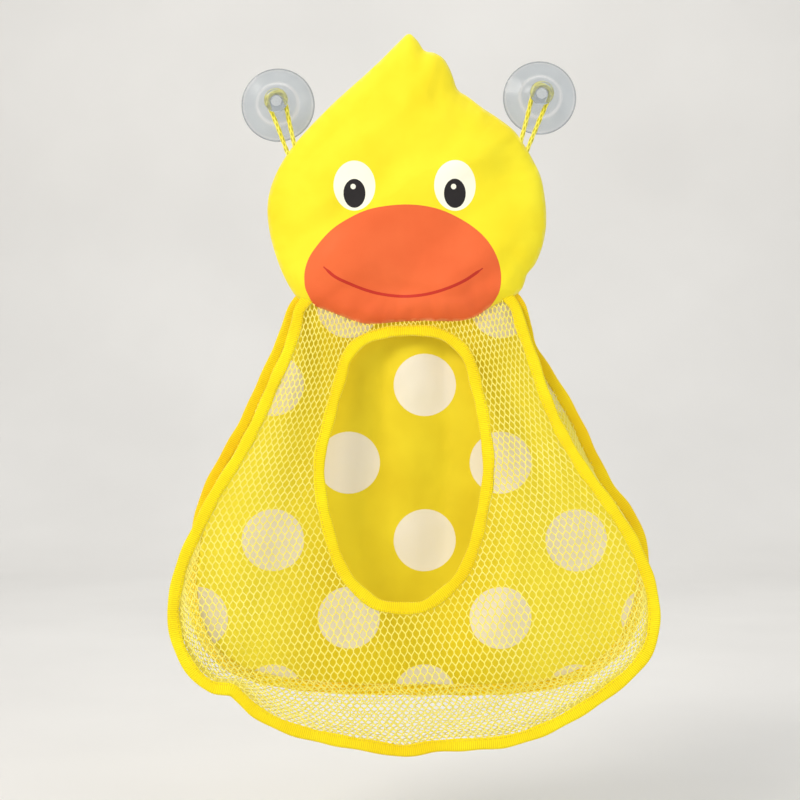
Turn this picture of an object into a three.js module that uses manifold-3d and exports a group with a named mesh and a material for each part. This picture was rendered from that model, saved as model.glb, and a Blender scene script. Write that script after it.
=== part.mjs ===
// Hanging net organizer for bath toys: a padded duck head above a pear-shaped net bag,
// hung by two cord loops from two suction cups.
//
// Millimetres, +Z up, +X to the right of someone facing the wall. The wall is the plane y = 0
// and the bag hangs on its -Y side, so a point's depth is its distance from the wall, -y.
// Origin: on the wall, midway between the two suction cups.

import * as THREE from 'three';
import { mergeVertices } from 'three/addons/utils/BufferGeometryUtils.js';
import Module from 'manifold-3d';

const wasm = await Module();
wasm.setup();

// Fits

const CLEARANCE = 0.3; // gap between neighbouring pieces
const CUT_OVERRUN = 20; // how far a cutter reaches past what it cuts

// Suction cups

const CUP_SPACING = 161; // centre to centre
const CUP_RISE = 4.4; // the right cup is pressed on this much higher than the left
const CUP_DIAMETER = 45;
const CUP_SEAL_WIDTH = 3; // flat ring that seals on the wall
const CUP_RECESS = 2.6; // depth of the hollow behind the disc
const CUP_LIP = 0.9; // thickness of the disc at its rim
const CUP_RING_DIAMETER = 25; // moulded step round the hub
const CUP_RING_STEP = 0.8;
const CUP_HUB_HEIGHT = 9.6; // from the wall to the root of the neck
const CUP_NECK_DIAMETER = 6.4;
const CUP_NECK_LENGTH = 6.6;
const CUP_KNOB_DIAMETER = 14.6;
const CUP_KNOB_HEIGHT = 3.8;
const CUP_SEGMENTS = 32;

// Cord loops

const CORD_DIAMETER = 2.6;
const CORD_TAIL = 7; // length of each end that is sewn into the head's seam
const CORD_SIDES = 8;
const CORD_STEPS = 28;
const CORD_ARC_STEPS = 6; // steps of the bend round the neck

// Head

const HEAD_WIDTH = 170;
const HEAD_HEIGHT = 176.5;
const HEAD_TOP = 38.9; // the tuft's tip above the origin
const HEAD_FRONT_CROWN = 9.5; // how far the front swells over its seam
const HEAD_BACK_CROWN = 3.2; // how far the back swells towards the wall
const HEAD_SOFTNESS = 9; // distance from the seam over which the swelling grows
const HEAD_FABRIC = 1;

// Face

const EYE_WIDTH = 25;
const EYE_HEIGHT = 29.8;
const PUPIL_WIDTH = 13.2;
const PUPIL_HEIGHT = 17.2;
const PUPIL_DROP = 4.6; // below the middle of the eye
const GLINT_DIAMETER = 3.2;
const GLINT_DROP = 0.6; // below the middle of the eye
const SMILE_WIDTH = 1.4;
const FACE_SEGMENTS = 20;
const PRINT_STEPS = 2; // steps between two points of a printed outline

// Bag

const BAG_WIDTH = 276; // across the front edge binding's middle line
const BAG_HEIGHT = 260; // from the neck to the lowest point of that line
const BAG_DEPTH = 75; // from the wall to the front edge at its deepest
const BELLY_BULGE = 19; // how far the net swells past its edges below the mouth
const SIDE_BULGE = 3; // the same beside the mouth
const GUSSET_BULGE = 3;
const FREE_SPAN = 28; // a net at least this wide swells in full
const NET_THICKNESS = 0.8;
const NET_OPENINGS_ACROSS = 12; // openings in a row across the bag
const NET_BAR = 5.5; // net left between two openings
const NET_HEM = 3; // net left between a binding and the nearest opening
const PANEL_THICKNESS = 0.8;
const BACK_NECK_SETBACK = 2.9; // how far the back edge lies behind the head's seam at the neck
const BACK_BELLY_DEPTH = 4; // the back edge's distance from the wall at the belly
const BACK_FOLD = 1.5; // how far the back panel's upright folds stand off its middle
const BACK_FOLD_PITCH = 46; // from fold to fold near the top
const BACK_FOLD_RISE = 24; // distance from the panel's edge over which the folds grow
const MOUTH_WIDTH = 100.5; // across the mouth binding's middle line
const MOUTH_HEIGHT = 161.5;
const MOUTH_CHIN_GAP = 2.2; // from the head's lowest point down to the mouth binding
const MOUTH_TOP_STANDOFF = 5; // how far the top of the mouth stands in front of the head's seam
const MOUTH_BOTTOM_DEPTH = 56;
const MOUTH_OFFSET = -3.3; // the mouth's middle, left of the bag's middle
const TAPE_WIDTH = 7; // binding tape, folded over an edge
const TAPE_FOLD = 0.7; // thickness of one ply of the tape
const EDGE_RUNOUT = 1; // how far a sheet's bound edge runs on past the end of its tape
const SIDE_STEPS = 46; // steps along an edge binding, from neck to neck
const MOUTH_STEPS = 12; // steps between two points of the mouth's outline
const CHIN_STEPS = 12; // steps along the seam below the head
const CHIN_HEM = 0.8; // turned edge of the net and the back panel below the head
const TAPE_ROWS = 2; // rows of points that lie within a binding

// Outlines as shares of the sizes above, chosen from the shape of the real thing

// across / HEAD_WIDTH, down from the tuft's tip / HEAD_HEIGHT: right corner, over the tuft, left corner
const HEAD_CROWN_SHARES = [
  [0.415, 0.851], [0.421, 0.831], [0.451, 0.793], [0.474, 0.741], [0.489, 0.675], [0.491, 0.624],
  [0.485, 0.558], [0.471, 0.492], [0.444, 0.436], [0.414, 0.386], [0.376, 0.334], [0.324, 0.294],
  [0.263, 0.255], [0.211, 0.217], [0.175, 0.193], [0.158, 0.151], [0.144, 0.117], [0.121, 0.083],
  [0.089, 0.065], [0.056, 0.058], [0.029, 0.022], [0, 0], [-0.039, 0.031], [-0.098, 0.088],
  [-0.157, 0.141], [-0.218, 0.193], [-0.265, 0.234], [-0.308, 0.275], [-0.354, 0.32], [-0.401, 0.371],
  [-0.429, 0.406], [-0.459, 0.451], [-0.49, 0.517], [-0.504, 0.573], [-0.506, 0.624], [-0.497, 0.689],
  [-0.479, 0.755], [-0.451, 0.827], [-0.418, 0.886],
];
// the same from the left corner, under the bill, to the right corner
const HEAD_CHIN_SHARES = [
  [-0.418, 0.886], [-0.404, 0.903], [-0.379, 0.924], [-0.344, 0.935], [-0.261, 0.965], [-0.189, 0.991],
  [-0.141, 0.9995], [-0.023, 0.991], [0.096, 0.989], [0.186, 0.988], [0.244, 0.972], [0.286, 0.944],
  [0.333, 0.924], [0.365, 0.91], [0.401, 0.882], [0.415, 0.851],
];
// the bill's edge from its lower left corner, over the top, to its lower right corner
const BILL_SHARES = [
  [-0.342, 0.935], [-0.352, 0.915], [-0.368, 0.881], [-0.372, 0.853], [-0.37, 0.819], [-0.356, 0.778],
  [-0.324, 0.733], [-0.271, 0.679], [-0.211, 0.641], [-0.141, 0.612], [-0.023, 0.596], [0.071, 0.603],
  [0.142, 0.624], [0.214, 0.661], [0.272, 0.711], [0.309, 0.768], [0.324, 0.812], [0.327, 0.853],
  [0.32, 0.893], [0.299, 0.929], [0.285, 0.946],
];
const SMILE_SHARES = [
  [-0.303, 0.807], [-0.262, 0.841], [-0.209, 0.865], [-0.14, 0.889], [-0.082, 0.901], [-0.005, 0.906],
  [0.065, 0.899], [0.131, 0.882], [0.195, 0.855], [0.236, 0.829], [0.261, 0.812],
];
// across / BAG_WIDTH, down from the neck / BAG_HEIGHT, depth from the head's seam to BAG_DEPTH:
// left neck, under, right neck
const FRONT_EDGE_SHARES = [
  [-0.241, 0.02, 0.04], [-0.246, 0.052, 0.096], [-0.264, 0.118, 0.176], [-0.291, 0.185, 0.256],
  [-0.323, 0.271, 0.392], [-0.362, 0.356, 0.536], [-0.412, 0.445, 0.664], [-0.444, 0.517, 0.76],
  [-0.473, 0.589, 0.84], [-0.488, 0.658, 0.888], [-0.491, 0.7, 0.912], [-0.478, 0.77, 0.952],
  [-0.443, 0.831, 0.984], [-0.406, 0.859, 1], [-0.366, 0.866, 1], [-0.348, 0.883, 1],
  [-0.315, 0.914, 1], [-0.25, 0.949, 0.992], [-0.163, 0.973, 0.984], [-0.086, 0.988, 0.976],
  [-0.011, 1, 0.968], [0.051, 0.99, 0.968], [0.127, 0.986, 0.968], [0.199, 0.979, 0.976],
  [0.272, 0.955, 0.984], [0.344, 0.915, 0.992], [0.409, 0.869, 0.992], [0.46, 0.824, 0.984],
  [0.495, 0.775, 0.96], [0.508, 0.715, 0.92], [0.503, 0.646, 0.88], [0.488, 0.595, 0.84],
  [0.463, 0.535, 0.784], [0.417, 0.458, 0.688], [0.37, 0.387, 0.584], [0.324, 0.3, 0.44],
  [0.292, 0.216, 0.304], [0.269, 0.135, 0.2], [0.247, 0.064, 0.112], [0.233, 0.012, 0.04],
];
// across / BAG_WIDTH, down from the neck / BAG_HEIGHT, in the same order
const BACK_EDGE_SHARES = [
  [-0.257, 0.018], [-0.274, 0.073], [-0.304, 0.146], [-0.333, 0.212], [-0.362, 0.279],
  [-0.393, 0.337], [-0.422, 0.392], [-0.446, 0.442], [-0.466, 0.512], [-0.478, 0.588], [-0.484, 0.662],
  [-0.475, 0.738], [-0.446, 0.808], [-0.395, 0.858], [-0.319, 0.888], [-0.199, 0.906], [-0.072, 0.912],
  [0.072, 0.913], [0.199, 0.912], [0.326, 0.896], [0.406, 0.865], [0.467, 0.812], [0.504, 0.738],
  [0.517, 0.669], [0.522, 0.612], [0.511, 0.546], [0.486, 0.492], [0.446, 0.437], [0.406, 0.358],
  [0.375, 0.288], [0.345, 0.23], [0.308, 0.168], [0.271, 0.106], [0.259, 0.062], [0.247, 0.01],
];
// across from the mouth's middle / MOUTH_WIDTH, down from its top / MOUTH_HEIGHT, once round
const MOUTH_SHARES = [
  [-0.106, -0.001], [0.03, -0.009], [0.132, -0.008], [0.232, 0.006], [0.308, 0.035], [0.37, 0.077],
  [0.409, 0.131], [0.436, 0.206], [0.467, 0.287], [0.485, 0.37], [0.5, 0.467], [0.492, 0.558],
  [0.467, 0.642], [0.419, 0.767], [0.334, 0.885], [0.242, 0.943], [0.117, 0.993], [-0.022, 1],
  [-0.153, 0.986], [-0.226, 0.956], [-0.309, 0.908], [-0.377, 0.84], [-0.429, 0.747], [-0.48, 0.621],
  [-0.5, 0.495], [-0.49, 0.435], [-0.464, 0.373], [-0.407, 0.233], [-0.373, 0.163], [-0.347, 0.1],
  [-0.309, 0.063], [-0.239, 0.025],
];
// radius / CUP_DIAMETER, height / CUP_HUB_HEIGHT: the disc's outer face, from rim to neck
const CUP_DISC_SHARES = [[0.44, 0.2], [0.36, 0.36]];
const CUP_HUB_SHARES = [[0.25, 0.74], [0.17, 0.92]];
const CUP_RING_FOOT_SHARE = 0.56; // height of the moulded step / CUP_HUB_HEIGHT
const CUP_RECESS_RING_SHARE = 0.85; // depth of the hollow below the moulded step / CUP_RECESS
// radius / half of CUP_KNOB_DIAMETER, height / CUP_KNOB_HEIGHT
const CUP_KNOB_SHARES = [[0.92, 0.08], [1, 0.4], [0.78, 0.85]];
const LOOP_SEAT_SHARE = 0.44; // where along the cup's neck the cord lies
// where each strand enters the head's seam, as the head's outline is given
const CORD_ENTRY_SHARES = {
  left: { outer: [-0.44, 0.3955], inner: [-0.4135, 0.368] },
  right: { outer: [0.424, 0.397], inner: [0.401, 0.368] },
};
const FACE_MIDDLE_SHARES = [0, 0.589]; // as the head's outline is given
const EYE_ACROSS_SHARES = { left: -0.193, right: 0.162 }; // the eyes' middles / HEAD_WIDTH
const EYE_LIFT_SHARE = 0.3826; // the eyes' middles above the top of the bill / EYE_HEIGHT
// how far in from the seam, as a share of the way to the middle of the face
const HEAD_RING_SHARES = [0, 0.06, 0.16, 0.34, 0.62];
const FOAM_EDGE_SHARE = 0.16;
// how far across the net, from the mouth's binding to the edge binding
const NET_RING_SHARES = [0, 0.22, 0.5, 0.78, 1];
const GUSSET_ROW_SHARES = [0, 0.33, 0.67, 1];
const PANEL_RING_SHARES = [0.08, 0.17, 0.26, 0.36, 0.46, 0.56, 0.67, 0.78, 0.89];
const NET_ROW_SHARE = 0.94; // from row to row of the net's openings / from opening to opening
// an opening's corners, across / its pitch and up / the rise from row to row
const NET_CELL_CORNERS = [
  [0, 2 / 3], [-1 / 2, 1 / 3], [-1 / 2, -1 / 3], [0, -2 / 3], [1 / 2, -1 / 3], [1 / 2, 1 / 3],
];
const LEAST_OPENING_SHARE = 0.2; // an opening cut smaller than this by a binding is left out
// the back panel's folds: where the first lies and how far they lean on their way down, in turns,
// their pitch at the top and the bottom / BACK_FOLD_PITCH, the height share below which they
// fade, and what is left of them at the bottom
const FOLD_START_TURN = 0.127;
const FOLD_LEAN_TURN = 0.35;
const FOLD_SPREAD_SHARES = [0.75, 1.35];
const FOLD_FADE_SHARE = 0.3;
const FOLD_FLOOR_SHARE = 0.35;
// the neck's height, down from the tuft's tip / HEAD_HEIGHT
const NECK_DROP_SHARE = 0.923;
// at the neck the bag's outline is given in shares of this many head widths, and from
// NECK_REACH_SHARE of its height down in shares of its own width
const NECK_SPREAD_SHARE = 1.6235;
const NECK_REACH_SHARE = 0.3;
// the back edge reaches its belly depth at this share of the bag's height
const BACK_SETTLE_SHARE = 0.5;
// heights, as shares of the bag's height, between which the net's swelling grows to its full size
const BULGE_START_SHARE = 0.32;
const BULGE_FULL_SHARE = 0.78;
const MOUTH_DEPTH_POWER = 0.85; // how early the mouth's edge comes forward on its way down
const CORD_SAG_SHARE = 0.5; // where along a strand its middle point lies

const FINISHES = {
  clearPlastic: { color: 0xd5dadd, roughness: 0.12, metalness: 0 },
  cord: { color: 0xf9d90f, roughness: 0.8, metalness: 0 },
  headCloth: { color: 0xfdee32, roughness: 0.75, metalness: 0 },
  foam: { color: 0xf2f0ea, roughness: 0.95, metalness: 0 },
  billPrint: { color: 0xf5733c, roughness: 0.75, metalness: 0 },
  smilePrint: { color: 0xc83228, roughness: 0.75, metalness: 0 },
  whitePrint: { color: 0xfdfdf0, roughness: 0.75, metalness: 0 },
  blackPrint: { color: 0x2d282a, roughness: 0.75, metalness: 0 },
  panelCloth: { color: 0xd9b51c, roughness: 0.85, metalness: 0 },
  net: { color: 0xefe678, roughness: 0.85, metalness: 0 },
  tape: { color: 0xf9d90f, roughness: 0.8, metalness: 0 },
};

const FORWARD = new THREE.Vector3(0, -1, 0);
const UP = new THREE.Vector3(0, 0, 1);

// Places that follow from the sizes

const headSeamDepth = CUP_HUB_HEIGHT + CUP_NECK_LENGTH * LOOP_SEAT_SHARE;
const bagTop = HEAD_TOP - HEAD_HEIGHT * NECK_DROP_SHARE;
const backNeckDepth = headSeamDepth - BACK_NECK_SETBACK;
const mouthTop = HEAD_TOP - HEAD_HEIGHT - MOUTH_CHIN_GAP - TAPE_WIDTH / 2;
const mouthTopDepth = headSeamDepth + MOUTH_TOP_STANDOFF;

// General tools

const at = (across, depth, height) => new THREE.Vector3(across, -depth, height);

const { lerp, smoothstep, clamp, euclideanModulo } = THREE.MathUtils;

const facing = (normal, side) => (normal.dot(side) < 0 ? normal.clone().negate() : normal);

function smoothLine(points, steps) {
  return new THREE.CatmullRomCurve3(points, false, 'centripetal').getSpacedPoints(steps);
}

// A body from rings of points: one list of rings for its front skin and one for its back skin.
// Rings that wrap join their ends. A centre, one point for each skin, closes the last ring.
function slab(front, back, { wrap = false, centre = null } = {}) {
  const points = [];
  const faces = [];
  const count = front[0].length;
  const last = front.length - 1;
  const spans = wrap ? count : count - 1;
  for (const ring of [...front, ...back]) points.push(...ring);
  const index = (side, ring, step) => (side * front.length + ring) * count + (step % count);
  const quad = (a, b, c, d) => faces.push(a, b, c, a, c, d);
  const cell = (side, ring, step) => [
    index(side, ring, step), index(side, ring + 1, step),
    index(side, ring + 1, step + 1), index(side, ring, step + 1),
  ];
  for (let step = 0; step < spans; step += 1) {
    for (let ring = 0; ring < last; ring += 1) {
      const [a, b, c, d] = cell(1, ring, step);
      quad(...cell(0, ring, step));
      quad(a, d, c, b);
    }
    quad(index(0, 0, step), index(0, 0, step + 1), index(1, 0, step + 1), index(1, 0, step));
    if (centre) {
      faces.push(index(0, last, step), points.length, index(0, last, step + 1));
      faces.push(index(1, last, step), index(1, last, step + 1), points.length + 1);
    } else {
      quad(index(0, last, step), index(1, last, step), index(1, last, step + 1), index(0, last, step + 1));
    }
  }
  if (!wrap) {
    for (let ring = 0; ring < last; ring += 1) {
      const next = ring + 1;
      quad(index(0, ring, 0), index(1, ring, 0), index(1, next, 0), index(0, next, 0));
      quad(index(0, ring, spans), index(0, next, spans), index(1, next, spans), index(1, ring, spans));
    }
  }
  if (centre) points.push(...centre);
  return outward(points, faces);
}

// A section, a closed list of [width, thickness] offsets, carried along frames of
// { place, width, normal }. Its ends are capped unless it wraps.
function band(frames, section, wrap) {
  const points = [];
  const faces = [];
  const sides = section.length;
  for (const { place, width, normal } of frames) {
    for (const [across, through] of section) {
      points.push(place.clone().addScaledVector(width, across).addScaledVector(normal, through));
    }
  }
  const spans = wrap ? frames.length : frames.length - 1;
  for (let step = 0; step < spans; step += 1) {
    const near = step * sides;
    const far = ((step + 1) % frames.length) * sides;
    for (let side = 0; side < sides; side += 1) {
      const next = (side + 1) % sides;
      faces.push(near + side, near + next, far + next, near + side, far + next, far + side);
    }
  }
  if (!wrap) {
    const flat = section.map(([across, through]) => new THREE.Vector2(across, through));
    const end = (frames.length - 1) * sides;
    for (const [a, b, c] of THREE.ShapeUtils.triangulateShape(flat, [])) {
      const turned = THREE.ShapeUtils.isClockWise([flat[a], flat[b], flat[c]]);
      faces.push(a, turned ? b : c, turned ? c : b);
      faces.push(end + a, end + (turned ? c : b), end + (turned ? b : c));
    }
  }
  return outward(points, faces);
}

// An indexed geometry whose faces all point out, whichever way round the loops above ran.
function outward(points, faces) {
  let volume = 0;
  for (let face = 0; face < faces.length; face += 3) {
    const [a, b, c] = [points[faces[face]], points[faces[face + 1]], points[faces[face + 2]]];
    volume += a.dot(b.clone().cross(c));
  }
  if (volume < 0) faces.reverse();
  const geometry = new THREE.BufferGeometry().setFromPoints(points);
  geometry.setIndex(faces);
  geometry.computeVertexNormals();
  return geometry;
}

function solid(geometry) {
  const bare = geometry.clone();
  bare.deleteAttribute('normal');
  bare.deleteAttribute('uv');
  const merged = mergeVertices(bare);
  return new wasm.Manifold(new wasm.Mesh({
    numProp: 3,
    vertProperties: new Float32Array(merged.attributes.position.array),
    triVerts: new Uint32Array(merged.index.array),
  }));
}

function geometryOf(body) {
  const mesh = body.getMesh();
  const geometry = new THREE.BufferGeometry();
  const places = new Float32Array(mesh.vertProperties);
  geometry.setAttribute('position', new THREE.BufferAttribute(places, mesh.numProp));
  geometry.setIndex(new THREE.BufferAttribute(new Uint32Array(mesh.triVerts), 1));
  geometry.computeVertexNormals();
  return geometry;
}

// Blocks with these outlines, seen from the front, from the wall to this distance from it.
function blocks(outlines, reach) {
  const shapes = outlines.map((points) => (
    new THREE.Shape(points.map((point) => new THREE.Vector2(point.x, point.z)))));
  const geometry = new THREE.ExtrudeGeometry(shapes, { depth: reach, bevelEnabled: false });
  return solid(geometry.rotateX(Math.PI / 2));
}

// A block that passes right through the head.
const throughCut = (points) => blocks([points], headSeamDepth + HEAD_FRONT_CROWN + CUT_OVERRUN);

function roundBar(path, radius, steps) {
  const shape = new THREE.Shape();
  for (let side = 0; side < CORD_SIDES; side += 1) {
    const angle = (2 * Math.PI * side) / CORD_SIDES;
    const point = [radius * Math.cos(angle), radius * Math.sin(angle)];
    if (side === 0) shape.moveTo(...point);
    else shape.lineTo(...point);
  }
  shape.closePath();
  return new THREE.ExtrudeGeometry(shape, { steps, extrudePath: path, bevelEnabled: false });
}

// Outlines seen from the front

const headPoint = ([across, down]) => at(
  across * HEAD_WIDTH, headSeamDepth, HEAD_TOP - down * HEAD_HEIGHT,
);

const headMiddle = headPoint(FACE_MIDDLE_SHARES);
const billTop = Math.max(...BILL_SHARES.map(headPoint).map(({ z }) => z));
const chinLine = smoothLine(HEAD_CHIN_SHARES.map(headPoint), CHIN_STEPS);
const headOutline = [...HEAD_CROWN_SHARES.map(headPoint), ...chinLine.slice(1, -1)];

function ellipse(middle, width, height, grow = 0) {
  const points = [];
  for (let step = 0; step < FACE_SEGMENTS; step += 1) {
    const angle = (2 * Math.PI * step) / FACE_SEGMENTS;
    const across = (width / 2 + grow) * Math.cos(angle);
    const up = (height / 2 + grow) * Math.sin(angle);
    points.push(at(middle.x + across, headSeamDepth, middle.z + up));
  }
  return points;
}

// The same outline moved sideways, outwards where the distance is positive on an outline that
// runs anticlockwise.
function offsetLine(points, distance, closed) {
  return points.map((point, index) => {
    const before = points[closed ? (index + points.length - 1) % points.length : Math.max(index - 1, 0)];
    const after = points[closed ? (index + 1) % points.length : Math.min(index + 1, points.length - 1)];
    const along = after.clone().sub(before).setY(0).normalize();
    return point.clone().add(new THREE.Vector3(along.z, 0, -along.x).multiplyScalar(distance));
  });
}

// Suction cups

const cupPlaces = {
  left: at(-CUP_SPACING / 2, 0, -CUP_RISE / 2),
  right: at(CUP_SPACING / 2, 0, CUP_RISE / 2),
};

function suctionCup() {
  const rim = CUP_DIAMETER / 2;
  const ring = CUP_RING_DIAMETER / 2;
  const neck = CUP_NECK_DIAMETER / 2;
  const knob = CUP_KNOB_DIAMETER / 2;
  const neckEnd = CUP_HUB_HEIGHT + CUP_NECK_LENGTH;
  const ringFoot = CUP_HUB_HEIGHT * CUP_RING_FOOT_SHARE;
  const outer = ([across, up]) => new THREE.Vector2(across * CUP_DIAMETER, up * CUP_HUB_HEIGHT);
  const onKnob = ([across, up]) => new THREE.Vector2(across * knob, neckEnd + up * CUP_KNOB_HEIGHT);
  const profile = [
    new THREE.Vector2(0, CUP_RECESS),
    new THREE.Vector2(ring, CUP_RECESS * CUP_RECESS_RING_SHARE),
    new THREE.Vector2(rim - CUP_SEAL_WIDTH, 0),
    new THREE.Vector2(rim, 0),
    new THREE.Vector2(rim, CUP_LIP),
    ...CUP_DISC_SHARES.map(outer),
    new THREE.Vector2(ring, ringFoot),
    new THREE.Vector2(ring - CUP_RING_STEP / 2, ringFoot + CUP_RING_STEP),
    ...CUP_HUB_SHARES.map(outer),
    new THREE.Vector2(neck, CUP_HUB_HEIGHT),
    new THREE.Vector2(neck, neckEnd),
    ...CUP_KNOB_SHARES.map(onKnob),
    new THREE.Vector2(0, neckEnd + CUP_KNOB_HEIGHT),
  ];
  return new THREE.LatheGeometry(profile, CUP_SEGMENTS).rotateX(Math.PI);
}

// Cord loops

// The cord's middle line, whose ends may run on past the cord's own.
function cordPath(side, overrun = 0) {
  const cup = cupPlaces[side];
  const round = CUP_NECK_DIAMETER / 2 + CLEARANCE + CORD_DIAMETER / 2;
  const turn = side === 'left' ? -1 : 1;
  const middle = at(cup.x, headSeamDepth, cup.z);
  const strand = (target, sideways) => {
    const down = target.clone().sub(middle).normalize();
    const rest = new THREE.Vector3(-down.z, 0, down.x).multiplyScalar(sideways * round);
    const start = middle.clone().add(rest);
    const run = target.clone().sub(start).normalize();
    const end = target.clone().addScaledVector(run, CORD_TAIL + overrun);
    return { start, end, target, halfway: start.clone().lerp(target, CORD_SAG_SHARE), rest };
  };
  const outer = strand(headPoint(CORD_ENTRY_SHARES[side].outer), turn);
  const inner = strand(headPoint(CORD_ENTRY_SHARES[side].inner), -turn);
  const from = Math.atan2(outer.rest.z, outer.rest.x);
  const to = Math.atan2(inner.rest.z, inner.rest.x);
  const sweep = turn * euclideanModulo(turn * (to - from), 2 * Math.PI);
  const arc = [];
  for (let step = 1; step < CORD_ARC_STEPS; step += 1) {
    const angle = from + (sweep * step) / CORD_ARC_STEPS;
    const place = at(round * Math.cos(angle), 0, round * Math.sin(angle));
    arc.push(place.add(middle));
  }
  return new THREE.CatmullRomCurve3([
    outer.end, outer.target, outer.halfway, outer.start, ...arc,
    inner.start, inner.halfway, inner.target, inner.end,
  ], false, 'centripetal');
}

function cordPocket() {
  const spare = CORD_DIAMETER / 2 + CLEARANCE;
  return ['left', 'right']
    .map((side) => solid(roundBar(cordPath(side, CLEARANCE), spare, CORD_STEPS)))
    .reduce((all, next) => all.add(next));
}

// Head

function distanceToSeam(point) {
  let nearest = Infinity;
  headOutline.forEach((start, index) => {
    const end = headOutline[(index + 1) % headOutline.length];
    const line = new THREE.Line3(start, end);
    const foot = line.closestPointToPoint(point, true, new THREE.Vector3());
    nearest = Math.min(nearest, foot.distanceTo(point));
  });
  return nearest;
}

const swelling = (point, crown) => crown * (1 - Math.exp(-distanceToSeam(point) / HEAD_SOFTNESS));

// The place in front of or behind a point of the seam's plane, a distance out from the middle of
// the padding's skin. The crown is negative on the side of the wall.
const skinAt = (point, crown, distance) => at(
  point.x, headSeamDepth + Math.sign(crown) * distance + swelling(point, crown), point.z,
);

// Rings over the face at these shares of the way from the seam to its middle, and the middle.
function skin(shares, crown, distance) {
  const place = (point) => skinAt(point, crown, distance);
  return {
    rings: shares.map((share) => headOutline.map((point) => place(point.clone().lerp(headMiddle, share)))),
    middle: place(headMiddle),
  };
}

const between = (front, back) => slab(front.rings, back.rings, {
  wrap: true,
  centre: [front.middle, back.middle],
});

// A sheet of cloth that swells forwards, or back where the crown is negative, from the seam.
const headSheet = (crown) => between(
  skin(HEAD_RING_SHARES, crown, CLEARANCE / 2 + HEAD_FABRIC),
  skin(HEAD_RING_SHARES, crown, CLEARANCE / 2),
);

// The foam fills the swelling between the two sheets and ends short of their seam.
function foamSheet() {
  const shares = HEAD_RING_SHARES.filter((share) => share >= FOAM_EDGE_SHARE);
  return between(
    skin(shares, HEAD_FRONT_CROWN, -CLEARANCE / 2),
    skin(shares, -HEAD_BACK_CROWN, -CLEARANCE / 2),
  );
}

const lowered = (point, drop) => point.clone().addScaledVector(UP, -drop);

// The bill's outline, carried down past the seam below it.
function billOutline() {
  const edge = smoothLine(BILL_SHARES.map(headPoint), BILL_SHARES.length * PRINT_STEPS);
  const first = edge[0];
  const final = edge[edge.length - 1];
  return [...edge, lowered(final, CUT_OVERRUN), lowered(first, CUT_OVERRUN)];
}

function smileOutline(halfWidth) {
  const line = smoothLine(SMILE_SHARES.map(headPoint), SMILE_SHARES.length * PRINT_STEPS);
  const over = offsetLine(line, -halfWidth, false);
  const under = offsetLine(line, halfWidth, false);
  return [...under, ...over.reverse()];
}

// Cutters for one eye: the hole for it in the face, and its pieces.
function eyeCutters(side) {
  const level = billTop + EYE_HEIGHT * EYE_LIFT_SHARE;
  const middle = at(EYE_ACROSS_SHARES[side] * HEAD_WIDTH, headSeamDepth, level);
  const pupil = lowered(middle, PUPIL_DROP);
  const glint = lowered(middle, GLINT_DROP);
  const cut = (place, width, height, grow) => throughCut(ellipse(place, width, height, grow));
  return {
    hole: cut(middle, EYE_WIDTH, EYE_HEIGHT, CLEARANCE),
    white: cut(middle, EYE_WIDTH, EYE_HEIGHT).subtract(cut(pupil, PUPIL_WIDTH, PUPIL_HEIGHT, CLEARANCE)),
    pupil: cut(pupil, PUPIL_WIDTH, PUPIL_HEIGHT)
      .subtract(cut(glint, GLINT_DIAMETER, GLINT_DIAMETER, CLEARANCE)),
    glint: cut(glint, GLINT_DIAMETER, GLINT_DIAMETER),
  };
}

// The front of the head is one swollen sheet, parted into its coloured pieces.
function headFrontPieces() {
  const sheet = solid(headSheet(HEAD_FRONT_CROWN)).subtract(cordPocket());
  const left = eyeCutters('left');
  const right = eyeCutters('right');
  const bill = billOutline();
  const smileHole = throughCut(smileOutline(SMILE_WIDTH / 2 + CLEARANCE));
  const around = sheet.subtract(left.hole).subtract(right.hole);
  const part = (cutter) => geometryOf(sheet.intersect(cutter));
  return {
    head_front_panel: geometryOf(around.subtract(throughCut(offsetLine(bill, -CLEARANCE, true)))),
    bill: geometryOf(around.intersect(throughCut(bill)).subtract(smileHole)),
    smile: part(throughCut(smileOutline(SMILE_WIDTH / 2))),
    eye_white_left: part(left.white),
    pupil_left: part(left.pupil),
    eye_glint_left: part(left.glint),
    eye_white_right: part(right.white),
    pupil_right: part(right.pupil),
    eye_glint_right: part(right.glint),
  };
}

const headBackPanel = () => geometryOf(solid(headSheet(-HEAD_BACK_CROWN)).subtract(cordPocket()));

// Bag

const backDepth = (height) => {
  const share = (bagTop - height) / BAG_HEIGHT;
  return lerp(backNeckDepth, BACK_BELLY_DEPTH, smoothstep(share, 0, BACK_SETTLE_SHARE));
};

const mouthDepth = (height) => {
  const share = clamp((mouthTop - height) / MOUTH_HEIGHT, 0, 1) ** MOUTH_DEPTH_POWER;
  return lerp(mouthTopDepth, MOUTH_BOTTOM_DEPTH, share);
};

const bagAcross = (across, down) => across * lerp(
  HEAD_WIDTH * NECK_SPREAD_SHARE, BAG_WIDTH, smoothstep(down, 0, NECK_REACH_SHARE),
);

const frontEdge = smoothLine(
  FRONT_EDGE_SHARES.map(([across, down, forward]) => at(
    bagAcross(across, down), lerp(headSeamDepth, BAG_DEPTH, forward), bagTop - down * BAG_HEIGHT,
  )),
  SIDE_STEPS,
);

const backEdge = smoothLine(
  BACK_EDGE_SHARES.map(([across, down]) => {
    const height = bagTop - down * BAG_HEIGHT;
    return at(bagAcross(across, down), backDepth(height), height);
  }),
  SIDE_STEPS,
);

const mouthLine = new THREE.CatmullRomCurve3(MOUTH_SHARES.map(([across, down]) => {
  const height = mouthTop - down * MOUTH_HEIGHT;
  return at(MOUTH_OFFSET + across * MOUTH_WIDTH, mouthDepth(height), height);
}), true, 'centripetal').getPoints(MOUTH_SHARES.length * MOUTH_STEPS);

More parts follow.
